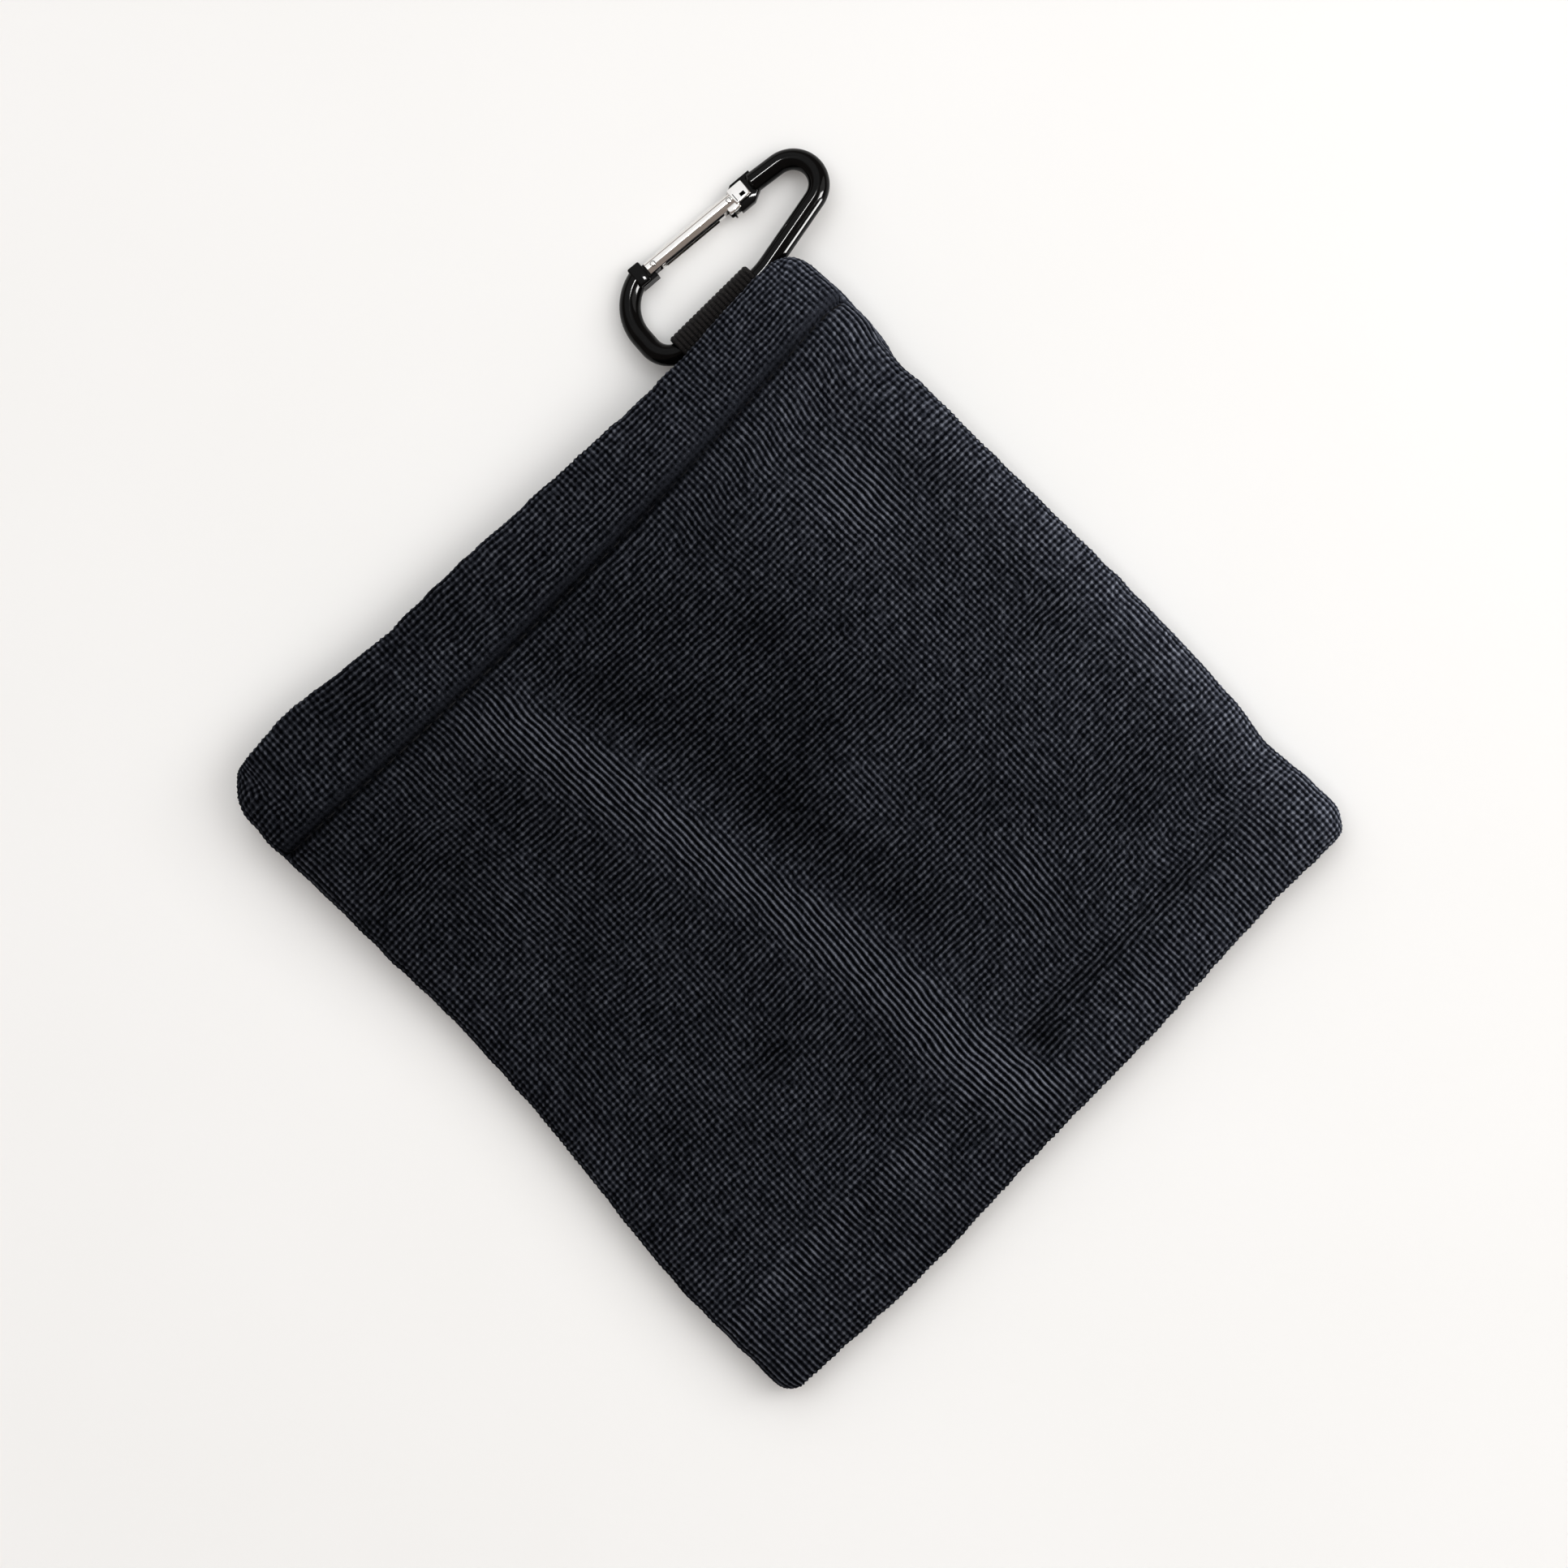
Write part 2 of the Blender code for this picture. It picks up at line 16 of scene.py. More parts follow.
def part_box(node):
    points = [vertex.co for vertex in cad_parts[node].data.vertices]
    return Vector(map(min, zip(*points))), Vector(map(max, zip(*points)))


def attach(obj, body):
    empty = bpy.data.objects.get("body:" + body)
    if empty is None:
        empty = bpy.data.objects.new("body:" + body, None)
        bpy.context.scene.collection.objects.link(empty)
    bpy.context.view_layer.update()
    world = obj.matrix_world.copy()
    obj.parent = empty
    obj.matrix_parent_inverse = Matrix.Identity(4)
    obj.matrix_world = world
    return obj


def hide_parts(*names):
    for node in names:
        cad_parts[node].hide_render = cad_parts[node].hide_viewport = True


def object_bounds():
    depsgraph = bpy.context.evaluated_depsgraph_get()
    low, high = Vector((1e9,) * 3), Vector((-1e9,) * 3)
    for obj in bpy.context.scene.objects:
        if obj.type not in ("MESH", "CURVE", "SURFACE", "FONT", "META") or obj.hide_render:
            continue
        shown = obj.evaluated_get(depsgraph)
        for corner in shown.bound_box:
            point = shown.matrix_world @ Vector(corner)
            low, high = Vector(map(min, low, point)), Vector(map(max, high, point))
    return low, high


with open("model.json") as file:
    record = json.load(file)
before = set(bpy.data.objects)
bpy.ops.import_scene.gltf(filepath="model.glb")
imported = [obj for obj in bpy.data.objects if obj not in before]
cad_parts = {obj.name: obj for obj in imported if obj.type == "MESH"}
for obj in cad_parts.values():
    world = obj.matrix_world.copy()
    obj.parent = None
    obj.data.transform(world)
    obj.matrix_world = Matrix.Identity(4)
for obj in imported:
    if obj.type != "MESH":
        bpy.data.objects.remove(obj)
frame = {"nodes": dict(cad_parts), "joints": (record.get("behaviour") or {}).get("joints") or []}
cad_low, cad_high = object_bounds()

MM = 0.001
joints = {joint["name"]: joint for joint in frame["joints"]}
print("the working part measures", [round(side / MM, 1) for side in cad_high - cad_low], "mm")

# %% [markdown]
# ## Small tools
# Every cell needs the same few helpers: clear the selection before an operator, cut one solid with another,
# and lay a finished object's place into its mesh so that the object itself sits at the origin. Plain
# functions like these keep the later cells short enough to read as a recipe.


# %% Selection and placing
def only(*objects):
    """Select just these objects, and make the first one active."""
    bpy.ops.object.select_all(action="DESELECT")
    for thing in objects:
        thing.select_set(True)
    bpy.context.view_layer.objects.active = objects[0]


def added(name):
    """The object that the last primitive operator made, renamed."""
    made = bpy.context.active_object
    made.name = made.data.name = name
    return made


def settle(thing, matrix=None):
    """Move the mesh itself, so that the object stays at the origin, unturned and unscaled."""
    only(thing)
    bpy.ops.object.transform_apply(location=True, rotation=True, scale=True)
    if matrix is not None:
        thing.data.transform(matrix)
    return thing


def apply_modifiers(thing):
    only(thing)
    for name in [modifier.name for modifier in thing.modifiers]:
        bpy.ops.object.modifier_apply(modifier=name)
    return thing


def cut(thing, tool, operation):
    """A boolean with a second object, which is used up."""
    modifier = thing.modifiers.new(tool.name, "BOOLEAN")
    modifier.operation = operation
    modifier.solver = "EXACT"
    modifier.object = tool
    apply_modifiers(thing)
    bpy.data.objects.remove(tool)
    return thing


def soften(thing, width, segments=2, angle=35):
    """A narrow bevel on the sharp edges, then smooth shading that keeps the flats flat."""
    modifier = thing.modifiers.new("soft edges", "BEVEL")
    modifier.width = width
    modifier.segments = segments
    modifier.limit_method = "ANGLE"
    modifier.angle_limit = math.radians(angle)
    apply_modifiers(thing)
    only(thing)
    bpy.ops.object.shade_smooth_by_angle(angle=math.radians(angle))
    return thing


def agree_normals(thing):
    """Turn every face of a closed shell outwards."""
    only(thing)
    bpy.ops.object.mode_set(mode="EDIT")
    bpy.ops.mesh.select_all(action="SELECT")
    bpy.ops.mesh.normals_make_consistent(inside=False)
    bpy.ops.object.mode_set(mode="OBJECT")


# %% Simple shapes
def box_between(name, low, high):
    bpy.ops.mesh.primitive_cube_add(size=1, location=(Vector(low) + Vector(high)) / 2,
                                    scale=Vector(high) - Vector(low))
    return settle(added(name))


def rod_between(name, radius, start, end, sides=32):
    """A round bar from one point to another."""
    start, end = Vector(start), Vector(end)
    turn = (end - start).to_track_quat("Z", "Y").to_euler()
    bpy.ops.mesh.primitive_cylinder_add(vertices=sides, radius=radius, depth=(end - start).length,
                                        location=(start + end) / 2, rotation=turn)
    return settle(added(name))


def from_lists(name, points, faces, finish):
    """An object made of listed points and faces, for cloth and thread."""
    mesh = bpy.data.meshes.new(name)
    mesh.from_pydata(points, [], faces)
    mesh.materials.append(finish)
    thing = bpy.data.objects.new(name, mesh)
    bpy.context.scene.collection.objects.link(thing)
    return thing


# %% Soft curves
RANDOM = np.random.default_rng(7)


def smoothstep(low, high, value):
    share = np.clip((np.asarray(value, float) - low) / (high - low), 0, 1)
    return share * share * (3 - 2 * share)


def through(points, value):
    """A smooth line through (place, height) points, read at many places at once."""
    x, y = (np.array(column, float) for column in zip(*points))
    slope = np.gradient(y, x)
    at = np.clip(np.searchsorted(x, value) - 1, 0, len(x) - 2)
    wide = x[at + 1] - x[at]
    t = (np.asarray(value) - x[at]) / wide
    keep = (1 + 2 * t) * (1 - t) ** 2 * y[at] + t * t * (3 - 2 * t) * y[at + 1]
    return keep + t * (1 - t) * wide * ((1 - t) * slope[at] - t * slope[at + 1])


def travelled_along(route):
    """How far along a line of points each of them lies."""
    return np.concatenate([[0], np.cumsum(np.linalg.norm(np.diff(route, axis=0), axis=1))])


def swell(x, y, wavelength, waves=7):
    """Soft random hills and hollows, from -1 to 1, made of a few plane waves."""
    total = np.zeros_like(x)
    for _ in range(waves):
        heading, phase = RANDOM.uniform(0, 2 * math.pi, 2)
        step = 2 * math.pi / (wavelength * RANDOM.uniform(0.7, 1.5))
        total += np.sin((x * math.cos(heading) + y * math.sin(heading)) * step + phase)
    return total / math.sqrt(waves) / 1.6


# %% [markdown]
# ## The camera, the table and the light
# The towel lies flat and is seen from straight above, turned so that its corners point up, down and sideways.
# A long lens high above the table keeps the edges straight. The table is plain and nearly white. One very
# large lamp overhead lights the table and the cloth, so the shadows stay pale. Three narrow lamps are seen in
# reflections only: each draws one clean white line on the black rod and leaves the dark cloth alone.
# The room is brownish and dim, with one white patch overhead towards the mouth: a polished tube only looks
# round when it mirrors something darker along one of its flanks.

# %% Camera
LENS_HEIGHT = 0.80
VIEW_WIDTH = 302 * MM            # how much of the table the picture shows
VIEW_CENTRE = (2.6 * MM, 4.3 * MM)
VIEW_TURN = math.radians(-44.5)
SENSOR = 36.0

bpy.ops.object.camera_add(location=(*VIEW_CENTRE, LENS_HEIGHT), rotation=(0, 0, VIEW_TURN))
camera = bpy.context.active_object
camera.data.sensor_width = SENSOR
camera.data.lens = SENSOR * (LENS_HEIGHT - 5 * MM) / VIEW_WIDTH
bpy.context.scene.camera = camera
bpy.context.scene.view_settings.view_transform = "Standard"
print("lens", round(camera.data.lens, 1), "mm")


# %% Table
class Nodes:
    """The nodes of a new material or room, with short ways to add more of them."""

    def __init__(self, owner, last):
        owner.use_nodes = True
        self.owner, self.tree = owner, owner.node_tree
        self.last = self.tree.nodes[last]

    def give(self, sockets, values):
        """Give each socket a number, or join another node's output to it."""
        for socket, value in zip(sockets, values):
            if isinstance(value, bpy.types.NodeSocket):
                self.tree.links.new(value, socket)
            else:
                socket.default_value = value

    def add(self, kind, settings=None, **values):
        node = self.tree.nodes.new(kind)
        for name, value in (settings or {}).items():
            setattr(node, name, value)
        self.give([node.inputs[name.replace("_", " ")] for name in values], values.values())
        return node

    def kept(self, name):
        """A value that the mesh carries at each point."""
        return self.add("ShaderNodeAttribute", {"attribute_name": name}).outputs["Fac"]

    def noise(self, scale, detail, roughness=0.5, at=None):
        if at is None:
            at = self.add("ShaderNodeTexCoord").outputs["Object"]
        return self.add("ShaderNodeTexNoise", Vector=at, Scale=scale, Detail=detail,
                        Roughness=roughness).outputs["Fac"]

    def sums(self, operation, *values):
        node = self.add("ShaderNodeMath", {"operation": operation})
        self.give(node.inputs, values)
        return node.outputs[0]

    def ramp(self, factor, *stops):
        """A colour ramp through (place, colour) stops."""
        node = self.add("ShaderNodeValToRGB", Fac=factor)
        while len(node.color_ramp.elements) < len(stops):
            node.color_ramp.elements.new(0.5)
        for element, (place, colour) in zip(node.color_ramp.elements, stops):
            element.position = place
            element.color = (*colour, 1)
        return node.outputs["Color"]

    def bump(self, strength, depth, height, **under):
        return self.add("ShaderNodeBump", Strength=strength, Distance=depth, Height=height,
                        **under).outputs["Normal"]

    def paint(self, **values):
        """Set the named inputs of the last node, and hand over the material."""
        self.give([self.last.inputs[name.replace("_", " ")] for name in values], values.values())
        return self.owner


def new_material(name):
    return Nodes(bpy.data.materials.new(name), "Principled BSDF")


bpy.ops.mesh.primitive_plane_add(size=4, location=(0, 0, cad_low.z))
table = added("table")
white = new_material("matt white table")
cloudy = white.ramp(white.noise(9.0, 3.0), (0.3, (0.833, 0.836, 0.828)), (0.7, (0.849, 0.852, 0.848)))
table.data.materials.append(white.paint(Base_Color=cloudy, Roughness=0.75, Specular_IOR_Level=0.0))


# %% Light
def softbox(name, place, target, size, power, colour, lights=True, mirrors=True):
    """An oblong lamp that lights matt things, is mirrored by shiny ones, or both."""
    bpy.ops.object.light_add(type="AREA", location=place)
    lamp = bpy.context.active_object
    lamp.name = name
    lamp.visible_diffuse = lights
    lamp.visible_glossy = mirrors
    lamp.rotation_euler = (Vector(target) - Vector(place)).to_track_quat("-Z", "Y").to_euler()
    lamp.data.shape = "RECTANGLE"
    lamp.data.size, lamp.data.size_y = size
    lamp.data.energy = power
    lamp.data.color = colour


GLEAM = (0.07, 0.09, 0)          # the carabiner, which the narrow lights are aimed at
DAYLIGHT = (1.0, 0.99, 0.98)
softbox("ceiling light", (0.50, 0.05, 1.40), (0, 0, 0), (3.0, 3.0), 27.5, (0.975, 0.99, 1.0), mirrors=False)
softbox("window light", (0.80, -0.30, 0.80), (0, 0, 0), (0.6, 0.9), 4.0, DAYLIGHT)
softbox("window bar", (0.62, -0.52, 0.74), GLEAM, (0.24, 0.45), 31.0, DAYLIGHT, lights=False)
softbox("low bar", (0.42, -0.95, 0.33), GLEAM, (0.36, 0.38), 42.0, DAYLIGHT, lights=False)
softbox("high bar", (0.19, 0.42, 1.00), GLEAM, (0.10, 0.08), 4.2, DAYLIGHT, lights=False)

room = bpy.data.worlds.new("bright room")
bpy.context.scene.world = room
walls = Nodes(room, "Background")
outwards = walls.add("ShaderNodeTexCoord").outputs["Generated"]
facing = walls.add("ShaderNodeVectorMath", {"operation": "DOT_PRODUCT"})
walls.give(facing.inputs, (outwards, (0.1, 0.55, 0.6)))
tint = walls.ramp(facing.outputs["Value"], (0.64, (0.25, 0.21, 0.185)), (0.73, (1.0, 1.0, 1.0)))
walls.paint(Color=tint, Strength=1.12)

# %% [markdown]
# ## The finishes
# Six materials cover everything. The microfibre reads two values that the cloth itself carries at each point:
# "pile" says whether the point is the tip of a loop or the pinhole between loops, and the colour paints shade
# into the pinholes and light onto the tips; the second value is painted light and shade, with a little random
# brushing of the pile, and makes a band of dark cloth look lighter. Painting those from the mesh keeps the
# colour locked to the knit. The metals only need fine changes of roughness.


# %% Microfibre
def microfibre(name, tip):
    dye = new_material(name)
    fibres = dye.noise(2600.0, 3.0, 0.6)
    # The ramp paints shade into the pinholes and light onto the loop tips, from the pile and a fine random
    # grain of fibres.
    raised = dye.sums("ADD", dye.kept("pile"), dye.sums("MULTIPLY_ADD", fibres, 0.4, -0.2))
    colour = dye.ramp(raised, (0.0, (0.0002, 0.00025, 0.0004)), (0.36, (0.0026, 0.0030, 0.0042)),
                      (0.6, (0.0185, 0.0205, 0.0268)), (1.0, tip))
    # Brightness: the painted light and shade that the mesh carries, plus a broad random mottle.
    painted_light_and_mottle = dye.sums("MULTIPLY_ADD", dye.noise(85.0, 3.0, 0.55), 0.14, dye.kept("nap_and_painted_light"))
    dyed = dye.add("ShaderNodeVectorMath", {"operation": "SCALE"}, Vector=colour, Scale=painted_light_and_mottle).outputs[0]
    return dye.paint(Base_Color=dyed, Roughness=0.95, Specular_IOR_Level=0.0, Sheen_Weight=0.012,
                     Sheen_Roughness=0.45, Sheen_Tint=(0.62, 0.70, 0.86, 1),
                     Normal=dye.bump(0.5, 0.00022, fibres))


CLOTH_FINISH = microfibre("navy-black microfibre", (0.114, 0.123, 0.148))


# %% Thread and webbing
def yarn(name, colour, roughness, grain, depth):
    """Spun yarn: a fine grain in the colour and the same grain as a bump."""
    spun = new_material(name)
    strands = spun.noise(grain, 4.0, 0.65)
    dark = tuple(0.35 * channel for channel in colour)
    return spun.paint(Base_Color=spun.ramp(strands, (0.3, dark), (0.75, colour)), Roughness=roughness,
                      Specular_IOR_Level=0.04, Sheen_Weight=0.03, Normal=spun.bump(0.6, depth, strands))


def ribbed_webbing(name):
    """Narrow nylon webbing. The map counts ribs across the band and weft threads along it."""
    woven = new_material(name)
    uv = woven.add("ShaderNodeUVMap", {"uv_map": "weave"}).outputs["UV"]
    waves = {"wave_type": "BANDS", "bands_direction": "Y", "wave_profile": "SIN"}
    weft = woven.add("ShaderNodeTexWave", waves, Vector=uv, Scale=1.0, Distortion=1.2, Detail=2.0,
                     Detail_Scale=3.0).outputs["Fac"]
    strands = woven.noise(3200.0, 3.0)
    # The colour paints light onto the rib crests and shade into the grooves between ribs, with a fine random
    # grain of strands.
    blacks = woven.ramp(woven.sums("MULTIPLY", woven.kept("pile"), strands),
                        (0.05, (0.0012, 0.0012, 0.0013)), (0.6, (0.019, 0.0172, 0.0168)))
    ribs = woven.bump(0.7, 0.00012, weft)
    return woven.paint(Base_Color=blacks, Roughness=0.5, Specular_IOR_Level=0.05,
                       Normal=woven.bump(0.35, 0.00006, strands, Normal=ribs))


THREAD_FINISH = yarn("black sewing thread", (0.009, 0.009, 0.011), 0.7, 4200.0, 0.00006)
WEBBING_FINISH = ribbed_webbing("black ribbed webbing")


# %% Metals
def metal(name, colour, worn, metallic, smooth, rough, stretch, specular):
    """A metal whose roughness wanders: fine lines along one direction, and broad handled patches."""
    cast = new_material(name)
    place = cast.add("ShaderNodeTexCoord").outputs["Object"]
    along = cast.add("ShaderNodeMapping", Vector=place, Scale=stretch).outputs["Vector"]
    lines = cast.noise(1.0, 4.0, 0.6, at=along)
    handled = cast.noise(260.0, 4.0, 0.6)
    spread = cast.add("ShaderNodeMapRange", Value=cast.sums("MULTIPLY", lines, handled),
                      From_Min=0.15, From_Max=0.42, To_Min=smooth, To_Max=rough)
    return cast.paint(Base_Color=cast.ramp(handled, (0.35, colour), (0.8, worn)),
                      Roughness=spread.outputs["Result"], Metallic=metallic, Specular_IOR_Level=specular,
                      Normal=cast.bump(0.12, 0.00003, lines))


BLACK_METAL = metal("black anodised aluminium", (0.0012, 0.0012, 0.0013), (0.003, 0.0028, 0.0028), 0.0,
                    0.05, 0.12, (900, 900, 900), 0.10)
BRIGHT_METAL = metal("polished steel gate", (0.80, 0.79, 0.775), (0.70, 0.685, 0.665), 1.0,
                     0.05, 0.17, (60, 2600, 2600), 0.5)
PIN_METAL = metal("plain steel pin", (0.52, 0.47, 0.42), (0.40, 0.36, 0.32), 1.0,
                  0.22, 0.42, (1500, 1500, 1500), 0.5)
print(len(bpy.data.materials), "materials so far, the table's among them")

# %% [markdown]
# ## The two cloth panels
# Each panel is one square of cloth. Along the two sides and the bottom it rolls over into a seam, so that the
# two panels meet in a fine ditch half way up. At the mouth it folds right over and runs back inside as a hem.
# A subdivided plane pushed about by hand would lose the knit, whose rows follow every roll and fold, so the
# panel is laid out as a grid measured along the cloth itself: one loop of the knit is two cells of the grid.
# The grid is bent into the smooth panel first, and the knit is raised on it afterwards.

# %% Sizes of a panel
CLOTH = 1.8 * MM                 # thickness of one layer
PLY_GAP = 0.3 * MM
LOOP_PITCH = 1.16 * MM           # from one loop of the knit to the next
SEAM_ROLL = 3.6 * MM             # radius of the cloth where it turns into a seam
SEAM_TUCK = math.radians(35)     # how far below its widest line the roll goes on, into the ditch
FOLD_ROLL = CLOTH + PLY_GAP / 2  # outer radius of the fold at the mouth
HEM_DEPTH = 16.5 * MM
DITCH_GAP = 0.15 * MM            # half the gap between the panels in the ditch
FLOOR_GAP = 0.16 * MM            # the lowest loops of the back panel just touch the table
CORNER_ROUND = {("left", "bottom"): 3.8 * MM, ("right", "bottom"): 5.6 * MM,
                ("left", "top"): 8.0 * MM, ("right", "top"): 6.0 * MM}

front_low, front_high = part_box("front_panel")
back_low, back_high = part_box("back_panel")
SEAM_Z = (back_high.z + front_low.z) / 2
SEAM_TOP = 4 * CLOTH + 3 * PLY_GAP
MOUTH_RISE = front_high.z - SEAM_TOP
WIDTH = front_high.x - front_low.x - 3.5 * MM      # the usual width, less than the widest place
LENGTH = front_high.y - front_low.y - 2.5 * MM
SIDE_EXTRA = SEAM_ROLL * (math.pi / 2 + SEAM_TUCK) - SEAM_ROLL
FOLD_EXTRA = FOLD_ROLL * (math.pi / 2 - 1)
COLUMNS = 2 * round((WIDTH + 2 * SIDE_EXTRA) / LOOP_PITCH)
ROWS = 2 * round((LENGTH + SIDE_EXTRA + FOLD_EXTRA) / LOOP_PITCH)
print("a panel is", COLUMNS, "by", ROWS, "cells, and the seam lies", round(SEAM_Z / MM, 2), "mm up")

# %% [markdown]
# Hand-sewn cloth is never quite square. Each edge is given as how far, in millimetres, it lies inside the
# frame's box at a few places along it, from 0 to 1, and a smooth line goes through them. The hem's line of
# stitches pulls the sides in a little where it meets them, so both sides have a notch near the mouth.

# %% Edges
LEFT_EDGE = [(0, 0.4), (0.09, 0.0), (0.17, -0.2), (0.28, 1.1), (0.39, 2.9), (0.5, 4.3), (0.6, 4.9),
             (0.72, 4.4), (0.82, 4.2), (0.865, 4.0), (0.9, 3.5), (0.945, 3.8), (1, 4.4)]
RIGHT_EDGE = [(0, 1.8), (0.07, 1.6), (0.11, 2.0), (0.15, 2.7), (0.19, 1.8), (0.25, 1.1), (0.38, 0.7),
              (0.5, 0.8), (0.62, 1.2), (0.75, 1.5), (0.82, 1.8), (0.85, 0.7), (0.9, 0.3), (0.945, 0.8),
              (1, 1.2)]
BOTTOM_EDGE = [(0, 0.6), (0.09, 0.2), (0.19, -0.5), (0.28, -0.4), (0.38, 0.4), (0.51, 1.0), (0.64, 1.4),
               (0.76, 2.6), (0.87, 3.4), (1, 3.1)]
MOUTH_EDGE = [(0, 1.3), (0.09, 0.4), (0.14, 0.1), (0.2, 1.4), (0.28, 2.6), (0.41, 2.8), (0.51, 3.6),
              (0.61, 4.2), (0.71, 5.0), (0.83, 4.9), (0.9, 4.2), (1, 4.2)]
HEM_LINE = [(-0.95, 60.9), (-0.3, 59.3), (0.38, 59.8), (0.9, 62.6)]     # share of half the width, mm
EDGE_WANDER = 0.16 * MM


def plan_place(p, q, shortfall):
    """From shares across and along the pouch to a place on the table."""
    left = front_low.x + through(LEFT_EDGE, q) * MM
    right = front_high.x - through(RIGHT_EDGE, q) * MM
    bottom = front_low.y + through(BOTTOM_EDGE, p) * MM
    mouth = front_high.y - through(MOUTH_EDGE, p) * MM - shortfall
    x, y = left + (right - left) * p, bottom + (mouth - bottom) * q
    return x + EDGE_WANDER * swell(x, y, 6 * MM), y + EDGE_WANDER * swell(x, y, 6 * MM)


def hem_line(x):
    half = (front_high.x - front_low.x) / 2
    return through(HEM_LINE, np.clip(x / half, -0.95, 0.9)) * MM


# %% [markdown]
# ### The roll and the fold
# A roll is an arc: the depth along the cloth gives an angle, and the angle gives how far in and how far up.
# "Foldness" blends from a seam's roll (0) to the mouth's fold (1), so that one formula serves round the
# corners. There the square cells are squeezed onto a quarter disc, as gathered cloth is.


# %% One edge's profile
def profile(depth, foldness):
    """How far in and how far up, from 0 to 1, the cloth is at a depth measured along it from the edge."""
    radius = SEAM_ROLL + (FOLD_ROLL - SEAM_ROLL) * foldness
    tuck = SEAM_TUCK * (1 - foldness)
    arc = radius * (math.pi / 2 + tuck)
    angle = np.minimum(depth / radius - tuck, math.pi / 2)
    inwards = np.where(depth < arc, radius * (1 - np.cos(angle)), depth - arc + radius)
    upwards = (np.sin(angle) + np.sin(tuck)) / (1 + np.sin(tuck))
    return inwards, upwards


def flat_grid():
    """Across, along, up and foldness for each point of the grid, before it is fitted to the real outline."""
    across = np.linspace(0, WIDTH + 2 * SIDE_EXTRA, COLUMNS + 1)[:, None] + np.zeros(ROWS + 1)
    along = np.linspace(0, LENGTH + SIDE_EXTRA + FOLD_EXTRA, ROWS + 1)[None, :] + np.zeros((COLUMNS + 1, 1))
    is_right = across > across.max() / 2
    is_top = along > along.max() / 2
    from_side = np.where(is_right, across.max() - across, across)
    from_end = np.where(is_top, along.max() - along, along)
    side_in, side_up = profile(from_side, np.zeros_like(across))
    end_in, end_up = profile(from_end, is_top.astype(float))
    up = side_up * end_up
    fold = is_top * smoothstep(14 * MM, 2 * MM, from_end)
    heading = np.full_like(across, math.pi / 2)
    for (side, end), rounding in CORNER_ROUND.items():
        end_extra = FOLD_EXTRA if end == "top" else SIDE_EXTRA
        x = 1 - from_side / (rounding + SIDE_EXTRA)
        y = 1 - from_end / (rounding + end_extra)
        here = (x >= 0) & (y >= 0) & (is_right == (side == "right")) & (is_top == (end == "top"))
        x, y = x[here], y[here]
        disc_x, disc_y = x * np.sqrt(1 - y * y / 2), y * np.sqrt(1 - x * x / 2)
        angle = np.arctan2(disc_y, disc_x)
        foldness = smoothstep(math.radians(20), math.radians(75), angle) * (end == "top")
        extra = SIDE_EXTRA + (end_extra - SIDE_EXTRA) * foldness
        inwards, upwards = profile((1 - np.hypot(disc_x, disc_y)) * (rounding + extra), foldness)
        side_in[here] = rounding - (rounding - inwards) * np.cos(angle)
        end_in[here] = rounding - (rounding - inwards) * np.sin(angle)
        up[here] = upwards
        fold[here] = foldness
        heading[here] = angle
    p = np.where(is_right, WIDTH - side_in, side_in) / WIDTH
    q = np.where(is_top, LENGTH - end_in, end_in) / LENGTH
    return p, q, up, fold, heading, from_side


# %% [markdown]
# ### How high the cloth lies
# The seams are pressed flat. The mouth stands open over the webbing, so the front panel climbs towards it and
# comes down again at its two ends. On top of that there are the marks of folding and handling: a long soft
# ridge from the mouth to the bottom seam, a hollow on each side of it, and low hills and dents.


# %% Hills, ridge and hollow
def bell(value, width):
    return np.exp(-(value / width) ** 2)


MARKS = [                        # places pressed in or puffed up: x, y, reach and height, all in mm
    (3, 51, 18, -0.5), (4.3, -67, 3.8, -1.0), (14, -6, 9, 0.55), (12, 6, 27, -0.6),
    (21, 28, 6, -0.4), (50, 33, 10, 0.5), (65, 27, 5, -0.4), (62, -8, 6, -0.4),
    (51, -42, 9, -0.5), (40, 6, 16, 0.25), (-50, 23, 8, 0.3), (-36, -32, 4, -0.4),
    (-60, 45, 12, -0.3), (-19, 73, 8, -0.4), (-44, 74, 5, -0.3), (24, -40, 8, 0.35),
]
RIDGE_LINE = [(-80, -1), (-60, -7), (-45, -9), (0, -15), (30, -22), (60, -29)]      # y and x, in mm
ALLOWANCE_LINE = -63 * MM        # the edge of the cloth turned in at the bottom shows through


def creases(x, y):
    """The ridge, its hollows, the bottom allowance and the marks, as heights in millimetres."""
    off_ridge = x - through(RIDGE_LINE, y / MM) * MM
    whole = smoothstep(62 * MM, 44 * MM, y) * smoothstep(-78 * MM, -70 * MM, y)
    height = 0.72 * bell(off_ridge, 7.0 * MM) * whole
    height -= 0.20 * bell(off_ridge + 14 * MM, 5 * MM) * whole
    height -= 0.36 * bell(off_ridge - 15 * MM, 6.5 * MM) * whole * smoothstep(-52 * MM, -32 * MM, y)
    left_part = smoothstep(2 * MM, -8 * MM, x)
    step = bell(y - ALLOWANCE_LINE, 2.2 * MM)
    height += step * (0.32 * left_part - 0.5 * (1 - left_part) * smoothstep(66 * MM, 40 * MM, x))
    height += 0.18 * smoothstep(ALLOWANCE_LINE + 2 * MM, ALLOWANCE_LINE - 2 * MM, y)
    for mark_x, mark_y, reach, rise in MARKS:
        height += rise * bell(np.hypot(x - mark_x * MM, y - mark_y * MM), reach * MM)
    return height


